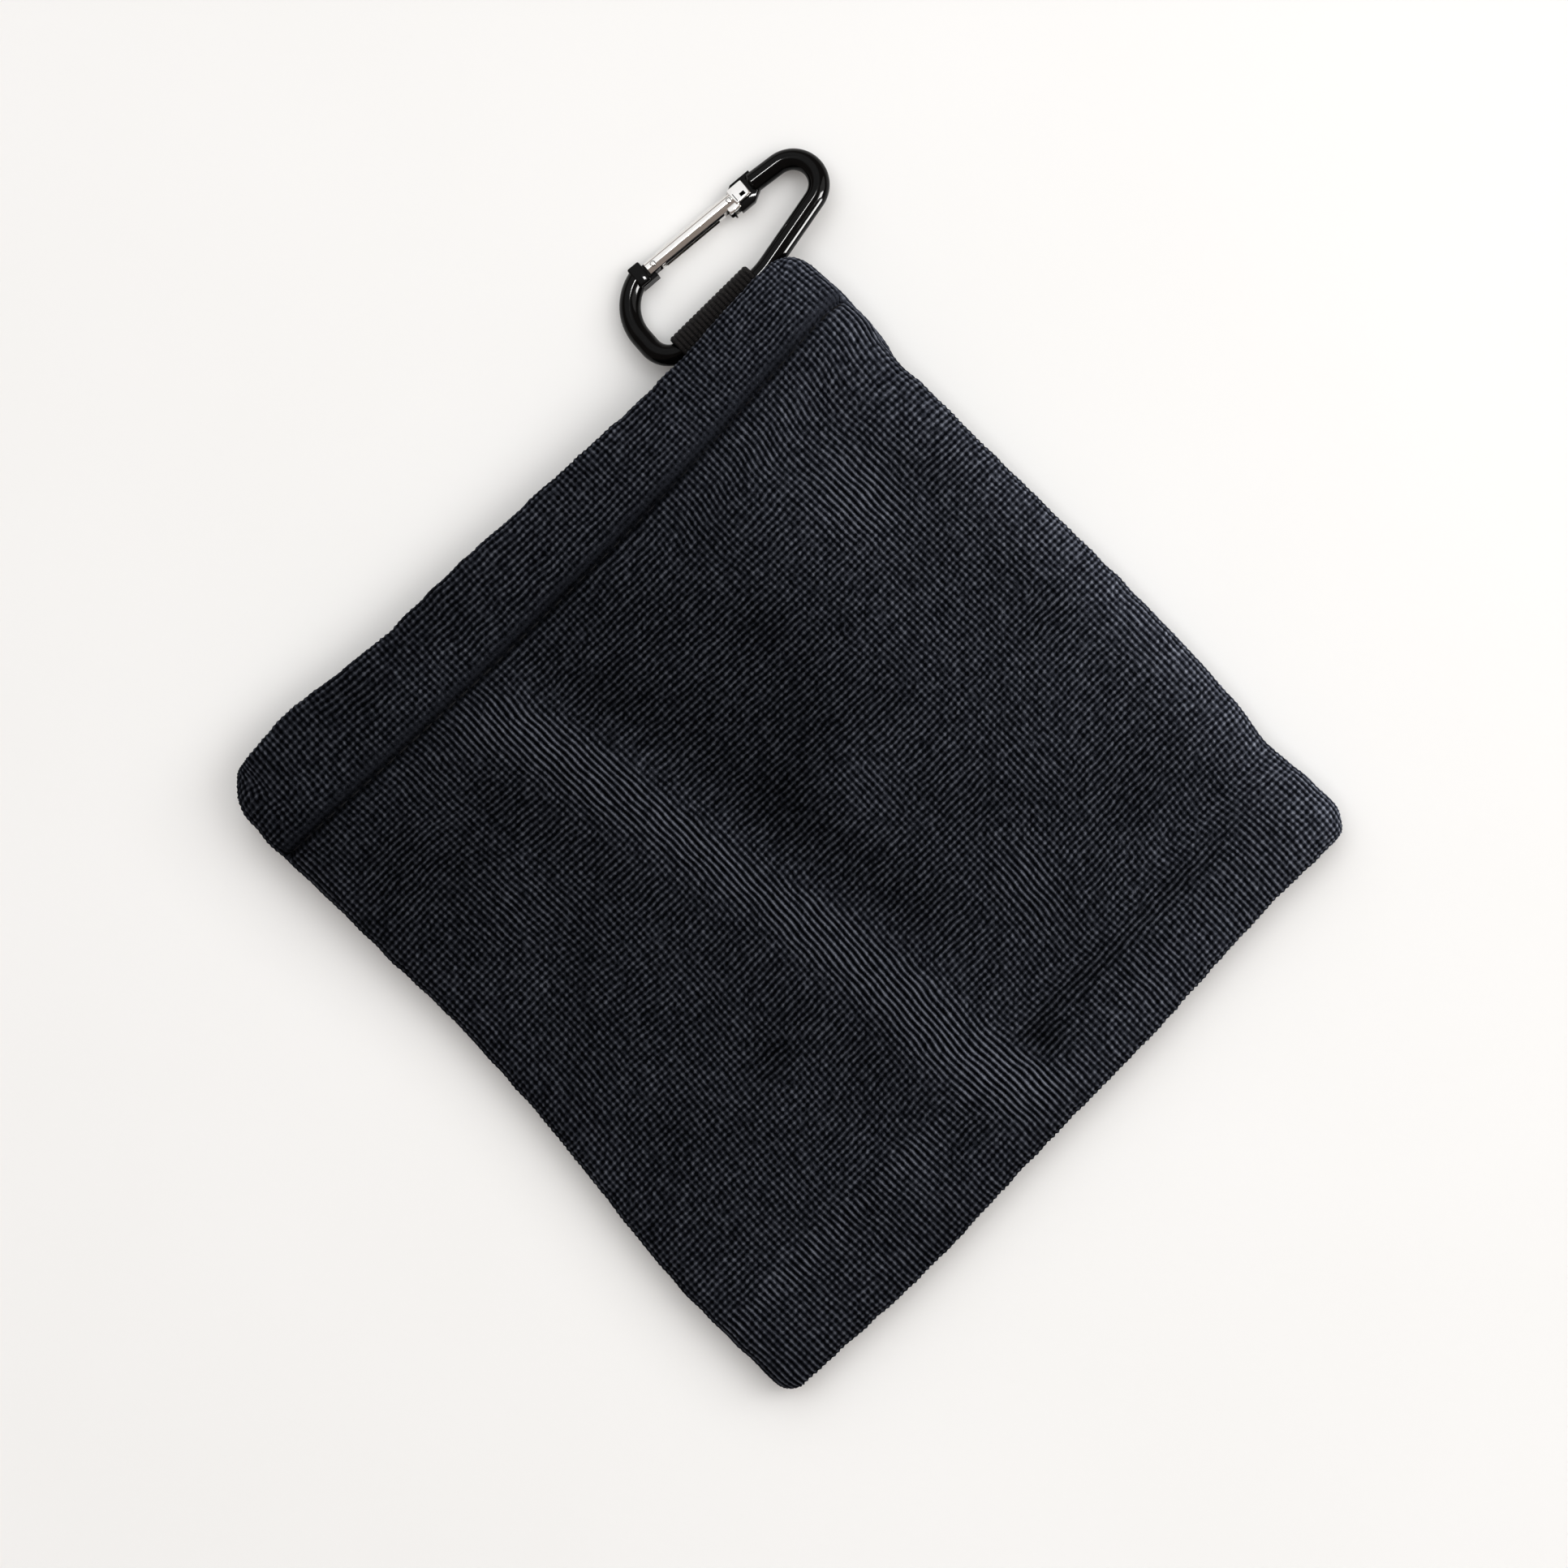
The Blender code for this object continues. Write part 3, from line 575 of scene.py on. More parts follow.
def front_height(x, y):
    climb = smoothstep(5 * MM, 56 * MM, y) * (1 - 0.55 * smoothstep(62 * MM, 76 * MM, np.abs(x)))
    hills = 0.30 * swell(x, y, 60 * MM) + 0.14 * swell(x, y, 20 * MM)
    inside = smoothstep(84 * MM, 62 * MM, np.abs(y)) * smoothstep(80 * MM, 62 * MM, np.abs(x))
    puff = 0.45 * bell(y - hem_line(x) - 4.5 * MM, 4 * MM)
    return SEAM_TOP + MOUTH_RISE * climb + (creases(x, y) * (0.4 + 0.6 * inside) + hills * inside + puff) * MM


def back_height(x, y):
    inside = smoothstep(84 * MM, 60 * MM, np.maximum(np.abs(x), np.abs(y)))
    lift = 0.25 * MM * (1 + swell(x, y, 45 * MM)) * inside
    return FLOOR_GAP + np.maximum(lift, 0)


# %% [markdown]
# ### Bending the grid, and the hem inside
# The grid is fitted to its outline, then lifted. Near the mouth the rows are eased so that one of them runs
# exactly along the line of stitches: the groove there is narrower than two cells, and would be ragged
# if it wandered across them. Five more rows carry the cloth round the fold, and the rest take it back inside.

# %% Bending
FOLD_ROWS = 5
FINE_HEM_ROWS = 8
COARSE_HEM_ROWS = 6
EASE = 30 * MM                   # how far from the stitches the rows are eased


def smooth_panel(is_front):
    """The panel's outer face before the knit is raised: points, and the index of the stitched row."""
    sign = 1 if is_front else -1
    p, q, up, fold, heading, from_side = flat_grid()
    x, y = plan_place(p, q, 0 if is_front else front_high.y - back_high.y)
    stitched = int(np.argmin(np.abs(y.mean(axis=0) - hem_line(0.0 * x[0]).mean() - 0.6 * MM)))
    miss = hem_line(x[:, stitched]) - y[:, stitched]
    y = y + miss[:, None] * smoothstep(EASE, 0, np.abs(y - y[:, [stitched]])) * up
    top = front_height(x, y) if is_front else back_height(x, y)
    base = SEAM_Z + sign * DITCH_GAP
    base = base + (top - sign * FOLD_ROLL - base) * fold
    z = base + (top - base) * up
    inwards = np.where(p[:, -1] < 0.5, 1, -1) * np.cos(heading[:, -1])
    backwards = -np.sin(heading[:, -1])
    open_share = 0.12 + 0.88 * smoothstep(0, 16 * MM, from_side[:, -1])
    rows = [np.stack([x, y, z], axis=2)]
    turns = [(FOLD_ROLL * (1 - math.cos(angle)), FOLD_ROLL * math.sin(angle))
             for angle in np.linspace(0, math.pi / 2, FOLD_ROWS + 1)[1:]]
    turns += [(FOLD_ROLL + (step + 1) * LOOP_PITCH / 2, FOLD_ROLL) for step in range(FINE_HEM_ROWS)]
    begun = turns[-1][0]
    turns += [(begun + (HEM_DEPTH - begun) * (step + 1) / COARSE_HEM_ROWS, FOLD_ROLL)
              for step in range(COARSE_HEM_ROWS)]
    for reach, drop in turns:
        rows.append(np.stack([x[:, -1] + inwards * reach * open_share,
                              y[:, -1] + backwards * reach * open_share,
                              z[:, -1] - sign * drop * open_share], axis=1)[:, None, :])
    return np.concatenate(rows, axis=1), stitched, open_share


def normals_of(points, sign):
    across = np.gradient(points, axis=0)
    along = np.gradient(points, axis=1)
    normal = np.cross(across, along) * sign
    return normal / np.maximum(np.linalg.norm(normal, axis=2, keepdims=True), 1e-12)


# %% [markdown]
# ### Raising the knit
# Every second point on every second row is a pinhole, pressed in, and the point diagonally next to it is the
# tip of a loop. Both directions are weighted separately, because the ribs run along the ridge and away from
# the gathers of the hem, and elsewhere the loops stand out one by one. A little randomness in their height
# keeps them from looking printed. The same numbers are kept on the mesh as "pile" for the colour, which
# paints shade into the pinholes and light onto the loop tips. The second value kept on the mesh is painted
# light and
# shade: lighter on the ridge, towards the lit side of the table and along the cloth's right and bottom edges,
# and darker on the side away from the light, in the hollows and in the groove, with a little random brushing
# on top.

# %% Knit and groove
KNIT_HEIGHT = 0.17 * MM
GROOVE_DEPTH = 1.15 * MM
GROOVE_WIDTH = 0.52 * MM
STITCH_PITCH = 3.2 * MM


def raise_knit(points, normal):
    """Displacement along the normal, pile, and painted light and shade with some random brushing, at each
    point of the outer face.
    """
    x, y = points[:, :, 0], points[:, :, 1]
    column = np.arange(points.shape[0])[:, None]
    row = np.arange(points.shape[1])[None, :]
    across = y - hem_line(x)
    marks = np.clip(creases(x, y), -1, 1)
    gathered = 0.5 * bell(across + 7 * MM, 6 * MM)
    ribs = np.clip(1.9 * marks + 0.33 * swell(x, y, 24 * MM) + 0.06 + gathered, -0.45, 0.95)
    even_column = np.where(column % 2 == 0, -1.0, 1.0)
    even_row = np.where(row % 2 == 0, -1.0, 1.0)
    pile = (even_column * (1 + ribs) + even_row * (1 - ribs)) / 2 * (1 + 0.4 * np.clip(marks, 0, 1))
    pile = pile * (1 + 0.10 * swell(x, y, 5 * MM)) + 0.20 * RANDOM.standard_normal(pile.shape)
    faint = np.ones(points.shape[1])
    hem_rows = FINE_HEM_ROWS + COARSE_HEM_ROWS
    faint[-hem_rows:] = np.linspace(0.9, 0.1, hem_rows)
    lift = KNIT_HEIGHT * np.clip(pile, -1.8, 1.8) * faint
    on_face = (row <= ROWS) & (normal[:, :, 2] ** 2 > 0.3)
    pulled = 1 + 0.12 * np.cos(2 * math.pi * x / STITCH_PITCH)
    groove = (bell(across, GROOVE_WIDTH) * pulled + 0.16 * bell(across, 2.6 * MM)) * on_face
    calm = 1 - 0.75 * bell(across - 1.1 * MM, 1.7 * MM) * on_face
    pile = pile * calm
    lift = lift * calm - GROOVE_DEPTH * groove
    # Painted light and shade: lighter towards the lit right side, much lighter along the right edge and
    # lighter along the bottom edge, darker towards the left.
    lit = 0.22 * smoothstep(20 * MM, 58 * MM, x)
    lit = lit - (0.26 - 0.14 * smoothstep(0, -50 * MM, y)) * smoothstep(5 * MM, -55 * MM, x)
    lit = lit + (1.0 + 1.1 * smoothstep(60 * MM, -70 * MM, y)) * smoothstep(61 * MM, 80 * MM, x)
    lit = lit + 0.35 * smoothstep(-66 * MM, -76 * MM, y) * smoothstep(-30 * MM, 30 * MM, x)
    brushed = 0.06 * swell(x, y, 16 * MM) + 0.08 * swell(x, y, 40 * MM)
    # Painted sheen on the ridge and painted shade in the hollows.
    ridge_sheen_hollow_shade = 0.36 * np.clip(marks, 0, 1) + 0.68 * np.clip(marks, -1, 0)
    # The groove along the stitches is also painted darker: painted shade in the crease.
    nap_and_painted_light = 1 + ridge_sheen_hollow_shade + lit + brushed - 0.75 * np.clip(groove, 0, 1)
    return lift, pile, np.clip(nap_and_painted_light, 0.2, 3.6)


# %% [markdown]
# ### Closing the shell
# A panel is a sheet with a thickness, so it gets an inner face too. Nobody sees much of that, so it is a
# coarse copy that follows the smooth panel, 1.8 mm below the outer face. The two are joined round the rim by
# small fans of triangles, and the normals are then made to agree all round the closed shell.


# %% Building a panel's mesh
def fan_strip(outer, picks, inner):
    """Triangles between a fine row of points and a coarse one that touches it at the picked places."""
    faces = []
    for start, end, near, far in zip(picks, picks[1:], inner, inner[1:]):
        middle = (start + end) // 2
        faces += [(outer[at], outer[at + 1], near) for at in range(start, middle)]
        faces.append((outer[middle], far, near))
        faces += [(outer[at], outer[at + 1], far) for at in range(middle, end)]
    return faces


def grid_faces(ids):
    corners = (ids[:-1, :-1], ids[1:, :-1], ids[1:, 1:], ids[:-1, 1:])
    return np.stack([corner.ravel() for corner in corners], axis=1).tolist()


def add_attribute(mesh, name, values):
    layer = mesh.attributes.new(name, "FLOAT", "POINT")
    layer.data.foreach_set("value", np.asarray(values, np.float32))


def cloth_panel(name, is_front):
    sign = 1 if is_front else -1
    smooth, stitched, open_share = smooth_panel(is_front)
    normal = normals_of(smooth, sign)
    lift, pile, nap_and_painted_light = raise_knit(smooth, normal)
    outer = smooth + normal * lift[:, :, None]
    outer[:, :, 2] = np.maximum(outer[:, :, 2], cad_low.z + 0.02 * MM)
    columns, rows = smooth.shape[:2]
    pick_columns = sorted({*range(0, columns, 4), columns - 1})
    pick_rows = sorted({*range(0, ROWS - 6, 4), *range(ROWS - 6, rows)})
    thick = np.where(np.arange(rows)[None, :] > ROWS - 8, 0.3 + 0.7 * open_share[:, None], 1.0) * CLOTH
    inner = (smooth - normal * thick[:, :, None])[np.ix_(pick_columns, pick_rows)]
    outer_ids = np.arange(columns * rows).reshape(columns, rows)
    inner_ids = columns * rows + np.arange(inner.shape[0] * inner.shape[1]).reshape(inner.shape[:2])
    faces = grid_faces(outer_ids) + grid_faces(inner_ids)
    for at in (0, -1):
        faces += fan_strip(outer_ids[:, at], pick_columns, inner_ids[:, at])
        faces += fan_strip(outer_ids[at, :], pick_rows, inner_ids[at, :])
    points = np.concatenate([outer.reshape(-1, 3), inner.reshape(-1, 3)]).tolist()
    faces = [[int(corner) for corner in face] for face in faces]
    panel = from_lists(name, points, faces, CLOTH_FINISH)
    mesh = panel.data
    rest = inner_ids.size
    # The outer face carries the pile and the painted light and shade; the inner face gets fixed, darker
    # values.
    add_attribute(mesh, "pile", np.concatenate([0.49 + pile.ravel() * 0.37, np.full(rest, 0.4)]))
    add_attribute(mesh, "nap_and_painted_light", np.concatenate([nap_and_painted_light.ravel() - 0.1, np.full(rest, 0.6)]))
    agree_normals(panel)
    mesh.shade_smooth()
    print(name, "has", len(mesh.polygons), "faces and lies between",
          round(outer[:, :, 2].min() / MM, 2), "and", round(outer[:, :, 2].max() / MM, 2), "mm")
    return panel, outer, stitched


towel_front, front_points, front_stitched = cloth_panel("towel_front", True)
towel_back, back_points, back_stitched = cloth_panel("towel_back", False)

# %% [markdown]
# ## The threads
# Sewing thread is a row of short, plump dashes that dive into the cloth at both ends. One dash is modelled
# from a sphere and copied along each line, resting in the groove or the ditch that the cloth already has.
# The lines are read back from the finished panels, so a stitch can never float above its groove.

# %% One stitch
STITCH_LENGTH = 2.7 * MM
THREAD_RADIUS = 0.24 * MM


def one_stitch():
    bpy.ops.object.select_all(action="DESELECT")
    bpy.ops.mesh.primitive_uv_sphere_add(segments=8, ring_count=7, radius=1, rotation=(0, math.pi / 2, 0))
    dash = settle(added("stitch"))
    points = np.array([vertex.co for vertex in dash.data.vertices])
    faces = [list(face.vertices) for face in dash.data.polygons]
    bpy.data.objects.remove(dash)
    droop = -0.9 * points[:, 0] ** 2
    points = points * [STITCH_LENGTH / 2, THREAD_RADIUS, THREAD_RADIUS]
    points[:, 2] += droop * THREAD_RADIUS
    return points, faces


STITCH_POINTS, STITCH_FACES = one_stitch()


def lay_stitches(name, route, up, raise_by=0.0):
    """Copies of the stitch, end to end along a line of points."""
    route = np.asarray(route, float)
    travelled = travelled_along(route)
    count = int(travelled[-1] / STITCH_PITCH)
    vertices, faces = [], []
    for number in range(count):
        middle = (number + 0.5) * travelled[-1] / count
        ends = [np.array([np.interp(middle + shift, travelled, route[:, axis]) for axis in range(3)])
                for shift in (-STITCH_LENGTH / 2, STITCH_LENGTH / 2)]
        x_axis = Vector(ends[1] - ends[0]).normalized()
        y_axis = Vector(up).cross(x_axis).normalized()
        z_axis = x_axis.cross(y_axis)
        turn = np.array([x_axis, y_axis, z_axis])
        centre = (ends[0] + ends[1]) / 2 + np.array(z_axis) * raise_by
        faces += [[corner + len(vertices) for corner in face] for face in STITCH_FACES]
        vertices += (STITCH_POINTS @ turn + centre).tolist()
    line = from_lists(name, vertices, faces, THREAD_FINISH)
    line.data.shade_smooth()
    print(name, "has", count, "stitches over", round(travelled[-1] / MM), "mm")
    return line


# %% Lines of stitches
HEM_ENDS = 9                     # columns left free of stitches at each end of the hem
HEM_PROUD = 0.12 * MM
front_line = front_points[HEM_ENDS:-HEM_ENDS, front_stitched]
back_line = back_points[HEM_ENDS:-HEM_ENDS, back_stitched]
front_hem = lay_stitches("front_hem_stitches", front_line, (0, 0, 1), raise_by=HEM_PROUD)
back_hem = lay_stitches("back_hem_stitches", back_line, (0, 0, -1), raise_by=HEM_PROUD)
ditch_left = (front_points[0, :ROWS] + back_points[0, :ROWS]) / 2
ditch_right = (front_points[-1, :ROWS] + back_points[-1, :ROWS]) / 2
ditch_bottom = (front_points[:, 0] + back_points[:, 0]) / 2
CORNER_CELLS = 14                # cells left free at a bottom corner; twice as many at the mouth
left_seam = lay_stitches("left_seam_stitches", ditch_left[CORNER_CELLS:-2 * CORNER_CELLS], (-1, 0, 0))
right_seam = lay_stitches("right_seam_stitches", ditch_right[CORNER_CELLS:-2 * CORNER_CELLS], (1, 0, 0))
bottom_seam = lay_stitches("bottom_seam_stitches", ditch_bottom[CORNER_CELLS:-CORNER_CELLS], (0, -1, 0))

# %% [markdown]
# ## The webbing loop
# The loop is one flat band: its two ends are sewn inside the mouth, and it wraps round the carabiner's spine.
# Real webbing of this kind is woven with ribs that run along the band. A flat plane with a bump map would
# have a smooth edge, so the ribs are real: the band's path is a short list of points with an arc round the
# spine, and its two faces are raised into ribs across the width.

# %% Path of the band
WEBBING = 1.2 * MM
RIBS = 20
CELLS_PER_RIB = 6
RIB_HEIGHT = 0.2 * MM
WEFT_PITCH = 0.9 * MM
ROD_RADIUS = 2.1 * MM            # with its lacquer, a shade over the working part's
WRAP_STEPS = 30
spine = Vector((0, *joints["carabiner_swing"]["pos_m"][1:]))
band_low, band_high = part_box("webbing_loop")
LEG_OFFSET = 0.65 * MM           # half the distance between the middles of the two legs
LEG_LENGTH = 10.3 * MM


def band_path():
    """Middle line of the band, in y and z, evenly spaced, from the lower leg's end to the upper leg's."""
    centre = np.array(spine[1:])
    wrap = ROD_RADIUS + PLY_GAP + WEBBING / 2
    leg = np.array([band_low.y + LEG_LENGTH, spine.z - LEG_OFFSET + 0.1 * MM])
    reach = centre - leg
    lean = math.asin(wrap / np.hypot(*reach))
    first = math.atan2(reach[1], reach[0]) - lean - math.pi / 2
    angles = np.linspace(first, first + math.pi + 2 * lean, WRAP_STEPS + 1)
    arc = centre + wrap * np.stack([np.cos(angles), np.sin(angles)], axis=1)
    lower = np.array([[band_low.y, spine.z - LEG_OFFSET], leg])
    upper = lower[::-1] * [1, -1] + [0, 2 * spine.z]
    path = np.concatenate([lower, arc, upper])
    travelled = travelled_along(path)
    even = np.arange(0, travelled[-1], WEFT_PITCH / 3)
    return np.stack([np.interp(even, travelled, path[:, axis]) for axis in (0, 1)], axis=1), even


def webbing_band(name):
    path, travelled = band_path()
    tangent = np.gradient(path, axis=0)
    tangent /= np.linalg.norm(tangent, axis=1, keepdims=True)
    out = np.stack([tangent[:, 1], -tangent[:, 0]], axis=1)
    across = np.linspace(0, 1, RIBS * CELLS_PER_RIB + 1)
    rib = np.abs(np.sin(across * RIBS * math.pi)) ** 0.7
    edge = smoothstep(0, 0.03, across) * smoothstep(1, 0.97, across)
    weft = 0.5 + 0.5 * np.cos(travelled[:, None] / WEFT_PITCH * 2 * math.pi + 0 * across)
    sides = []
    for face in (1, -1):
        offset = face * ((WEBBING / 2 - RIB_HEIGHT) * (0.55 + 0.45 * edge)
                         + RIB_HEIGHT * rib * (0.7 + 0.3 * weft))
        sway = 0.12 * MM * np.sin(travelled / (7 * MM))[:, None]
        x = band_low.x + (band_high.x - band_low.x) * across[None, :] + sway
        y = path[:, None, 0] + out[:, None, 0] * offset
        z = path[:, None, 1] + out[:, None, 1] * offset
        sides.append(np.stack([x, y, z], axis=2))
    rows, columns = sides[0].shape[:2]
    ids = np.arange(2 * rows * columns).reshape(2, rows, columns)
    faces = grid_faces(ids[0]) + grid_faces(ids[1])
    for at in (0, -1):
        faces += grid_faces(np.stack([ids[0][:, at], ids[1][:, at]]))
        faces += grid_faces(np.stack([ids[0][at], ids[1][at]]))
    points = np.concatenate([side.reshape(-1, 3) for side in sides]).tolist()
    band = from_lists(name, points, faces, WEBBING_FINISH)
    mesh = band.data
    # The rib profile, which the colour uses for painted light on the crests and painted shade between the
    # ribs.
    add_attribute(mesh, "pile", np.tile((rib * (0.75 + 0.25 * weft)).ravel(), 2))
    weave = mesh.uv_layers.new(name="weave")
    mapped = np.stack([np.tile(across * RIBS, (rows, 1)),
                       np.tile(travelled[:, None] / WEFT_PITCH, (1, columns))], axis=2).reshape(-1, 2)
    corners = np.zeros(len(mesh.loops), int)
    mesh.loops.foreach_get("vertex_index", corners)
    weave.data.foreach_set("uv", np.tile(mapped, (2, 1))[corners].ravel().astype(np.float32))
    agree_normals(band)
    bpy.ops.object.shade_smooth_by_angle(angle=math.radians(60))
    print(name, "is", round(travelled[-1] / MM, 1), "mm long with", RIBS, "ribs")
    return band, travelled[-1]


webbing, WEBBING_LENGTH = webbing_band("webbing_band")

# %% Tack stitches that hold the loop
TACK_INSET = 2.0 * MM
TACK_DEPTH = 5.0 * MM
tack_z = spine.z + LEG_OFFSET + WEBBING / 2 + 0.05 * MM
tack_low = Vector((band_low.x + TACK_INSET, band_low.y + TACK_INSET, tack_z))
tack_high = Vector((band_high.x - TACK_INSET, band_low.y + TACK_INSET + TACK_DEPTH, tack_z))
box_route = [(x, y, tack_z) for x, y in (
    (tack_low.x, tack_low.y), (tack_high.x, tack_low.y), (tack_high.x, tack_high.y),
    (tack_low.x, tack_high.y), (tack_low.x, tack_low.y))]
loop_tack = lay_stitches("loop_tack_stitches", box_route, (0, 0, 1))

# %% [markdown]
# ## The carabiner's own plane
# The carabiner leans down from its spine until its far side touches the table. All of it is modelled lying
# flat, x along the spine and y towards the gate, and is turned into place at the end. The joints of the
# working part give that turn: the swing joint runs along the spine, and the gate's pin stands square to it.

# %% Two working planes
gate_pin = Vector(joints["gate_hinge"]["pos_m"])
plane_up = -Vector(joints["gate_hinge"]["axis"]).normalized()
plane_x = Vector((1, 0, 0))
plane_y = plane_up.cross(plane_x)
CARABINER_PLACE = Matrix.Translation(spine) @ Matrix((plane_x, plane_y, plane_up)).transposed().to_4x4()
nose_pin_low, nose_pin_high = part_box("gate_nose_pin")
gate_local = CARABINER_PLACE.inverted() @ gate_pin
nose_local = CARABINER_PLACE.inverted() @ ((nose_pin_low + nose_pin_high) / 2)
gate_heading = math.atan2(nose_local.y - gate_local.y, nose_local.x - gate_local.x)
GATE_PLACE = CARABINER_PLACE @ Matrix.Translation(gate_local) @ Matrix.Rotation(gate_heading, 4, "Z")
PIN_X = (nose_local - gate_local).length
NOSE_PIN_BACK = 4.25 * MM
GATE_END = PIN_X + NOSE_PIN_BACK
IN_CARABINER = CARABINER_PLACE.inverted() @ GATE_PLACE
print("the gate is", round(GATE_END / MM, 2), "mm from its pin to its nose, at",
      round(math.degrees(gate_heading), 1), "degrees to the spine")

# %% [markdown]
# ## The bent rod
# The frame is one 4 mm rod, bent cold. A curve with a bevel would do, but bending it as a bench worker would
# is more faithful and gives clean rings of faces: a circle at the nose is extruded along the straights and
# spun round the bends. The first ring is smaller, so the rod's sawn end has a chamfer that catches the light.

# %% Bending the rod
NOSE = Vector((78.9, 14.45, 0)) * MM
NOSE_HEADING = -7.8
BENDS = [                        # straight length in mm, then bend radius in mm and angle in degrees
    (6.0, 5.2, 161.0), (15.25, 18.0, 11.1), (19.1, 4.95, 93.9), (2.6, 9.75, 69.0),
]
ROD_TAIL = 1.2 * MM              # the last straight part, which ends inside the hinge block
ROD_SIDES = 40
SAWN_END = 0.72                  # size of the first ring, as a share of the rod's
CHAMFER = 0.55 * MM


def bend_rod(name):
    heading = math.radians(NOSE_HEADING)
    place = NOSE.copy()
    bpy.ops.object.select_all(action="DESELECT")
    bpy.ops.mesh.primitive_circle_add(vertices=ROD_SIDES, radius=ROD_RADIUS * SAWN_END, location=place,
                                      rotation=(0, math.pi / 2, heading))
    rod = settle(added(name))
    bpy.ops.object.mode_set(mode="EDIT")
    bpy.ops.mesh.select_all(action="SELECT")

    def feed(length, pieces=1):
        nonlocal place
        step = Vector((math.cos(heading), math.sin(heading), 0)) * length / pieces
        for _ in range(pieces):
            bpy.ops.mesh.extrude_region_move(TRANSFORM_OT_translate={"value": step})
            place = place + step

    feed(CHAMFER)
    bpy.ops.transform.resize(value=(1 / SAWN_END,) * 3, center_override=place)
    for straight, radius, angle in BENDS:
        feed(straight * MM, 4)
        to_centre = Vector((math.sin(heading), -math.cos(heading), 0)) * radius * MM
        centre = place + to_centre
        turn = math.radians(angle)
        steps = max(4, round(angle / 4))
        bpy.ops.mesh.spin(steps=steps, angle=turn, center=centre, axis=(0, 0, 1))
        place = centre + Matrix.Rotation(-turn, 3, "Z") @ (place - centre)
        heading -= turn
    feed(ROD_TAIL)
    bpy.ops.mesh.select_all(action="SELECT")
    bpy.ops.mesh.remove_doubles(threshold=0.01 * MM)
    bpy.ops.mesh.fill_holes(sides=0)
    bpy.ops.object.mode_set(mode="OBJECT")
    agree_normals(rod)
    print("the rod ends at", [round(side / MM, 1) for side in place], "mm and has",
          len(rod.data.polygons), "faces")
    return rod


carabiner_rod = bend_rod("carabiner_rod")

# %% [markdown]
# ### Hinge block and hooked nose
# At the hinge the rod is pressed into a small square block with a lip, and both ends of the rod are milled
# down to flat tongues that fit inside the gate. The nose tongue has a notch, open inwards, that catches the
# gate's pin. Each is made from a box or a bar, cut as a mill would cut it, and joined to the rod.

# %% Tongues and block
TONGUE = 1.6 * MM                # thickness of both tongues
TONGUE_END = 1.35 * MM           # radius of the hinge tongue's round end
NOTCH = 0.66 * MM                # half the width of the nose's notch
PIN_HOLE = 0.58 * MM             # radius of the holes that the pins go through
CLEAR = 3 * MM                   # how far a cutting tool reaches past the metal


def in_gate_plane(thing):
    return settle(thing, IN_CARABINER)


block = box_between("hinge_block", (-4.7 * MM, -2.25 * MM, -2.15 * MM), (-1.97 * MM, 2.2 * MM, 2.15 * MM))
soften(block, 0.35 * MM, segments=3)
cut(block, box_between("hinge_lip", (-4.3 * MM, -2.4 * MM, -1.2 * MM), (-0.5 * MM, -1.7 * MM, 1.2 * MM)),
    "UNION")
tongue = rod_between("hinge_tongue", TONGUE_END, (0, 0, -TONGUE / 2), (0, 0, TONGUE / 2))
shank = box_between("hinge_shank", (-3.5 * MM, -TONGUE_END, -TONGUE / 2), (0, TONGUE_END, TONGUE / 2))
cut(tongue, shank, "UNION")

nose = box_between("nose_tongue", (PIN_X - 1.55 * MM, -3.2 * MM, -TONGUE / 2),
                   (GATE_END + 2.4 * MM, 2.5 * MM, TONGUE / 2))
bpy.ops.object.mode_set(mode="EDIT")
for corner, slope in (((GATE_END - 0.4 * MM, -3.2 * MM, 0), (0.58, -1, 0)),
                      ((GATE_END - 3.4 * MM, 1.72 * MM, 0), (-0.65, 1, 0))):
    bpy.ops.mesh.select_all(action="SELECT")
    bpy.ops.mesh.bisect(plane_co=corner, plane_no=slope, use_fill=True, clear_outer=True)
bpy.ops.object.mode_set(mode="OBJECT")
for tool in (box_between("nose_gap", (PIN_X - NOTCH, -5 * MM, -CLEAR), (PIN_X + NOTCH, 0, CLEAR)),
             rod_between("nose_notch", NOTCH, (PIN_X, 0, -CLEAR), (PIN_X, 0, CLEAR)),
             box_between("hook_trim", (PIN_X - CLEAR, -5 * MM, -CLEAR), (PIN_X - NOTCH, -2.1 * MM, CLEAR))):
    cut(nose, tool, "DIFFERENCE")
soften(nose, 0.12 * MM)
for piece in (block, tongue, nose):
    cut(carabiner_rod, in_gate_plane(piece), "UNION")
hinge_hole = rod_between("hinge_hole", PIN_HOLE, (0, 0, -CLEAR), (0, 0, CLEAR))
cut(carabiner_rod, in_gate_plane(hinge_hole), "DIFFERENCE")
settle(carabiner_rod, CARABINER_PLACE)
only(carabiner_rod)
bpy.ops.object.shade_smooth_by_angle(angle=math.radians(38))
carabiner_rod.data.materials.append(BLACK_METAL)
print("carabiner_rod has", len(carabiner_rod.data.polygons), "faces")

# %% [markdown]
# ## The gate
# The gate is a polished tube with a square block and an ear on each cheek at its nose. Both ends are slotted
# to let the tongues in, and a slot along the inner side shows the bore, where a small spring and follower
# push the gate shut. Both are kept from the working part with a steel finish, because they are already at
# full detail.

# %% Gate tube
GATE_RADIUS = 1.7 * MM
GATE_BORE = 1.2 * MM
TONGUE_SLOT = 2.2 * MM
BORE_END = 15.5 * MM

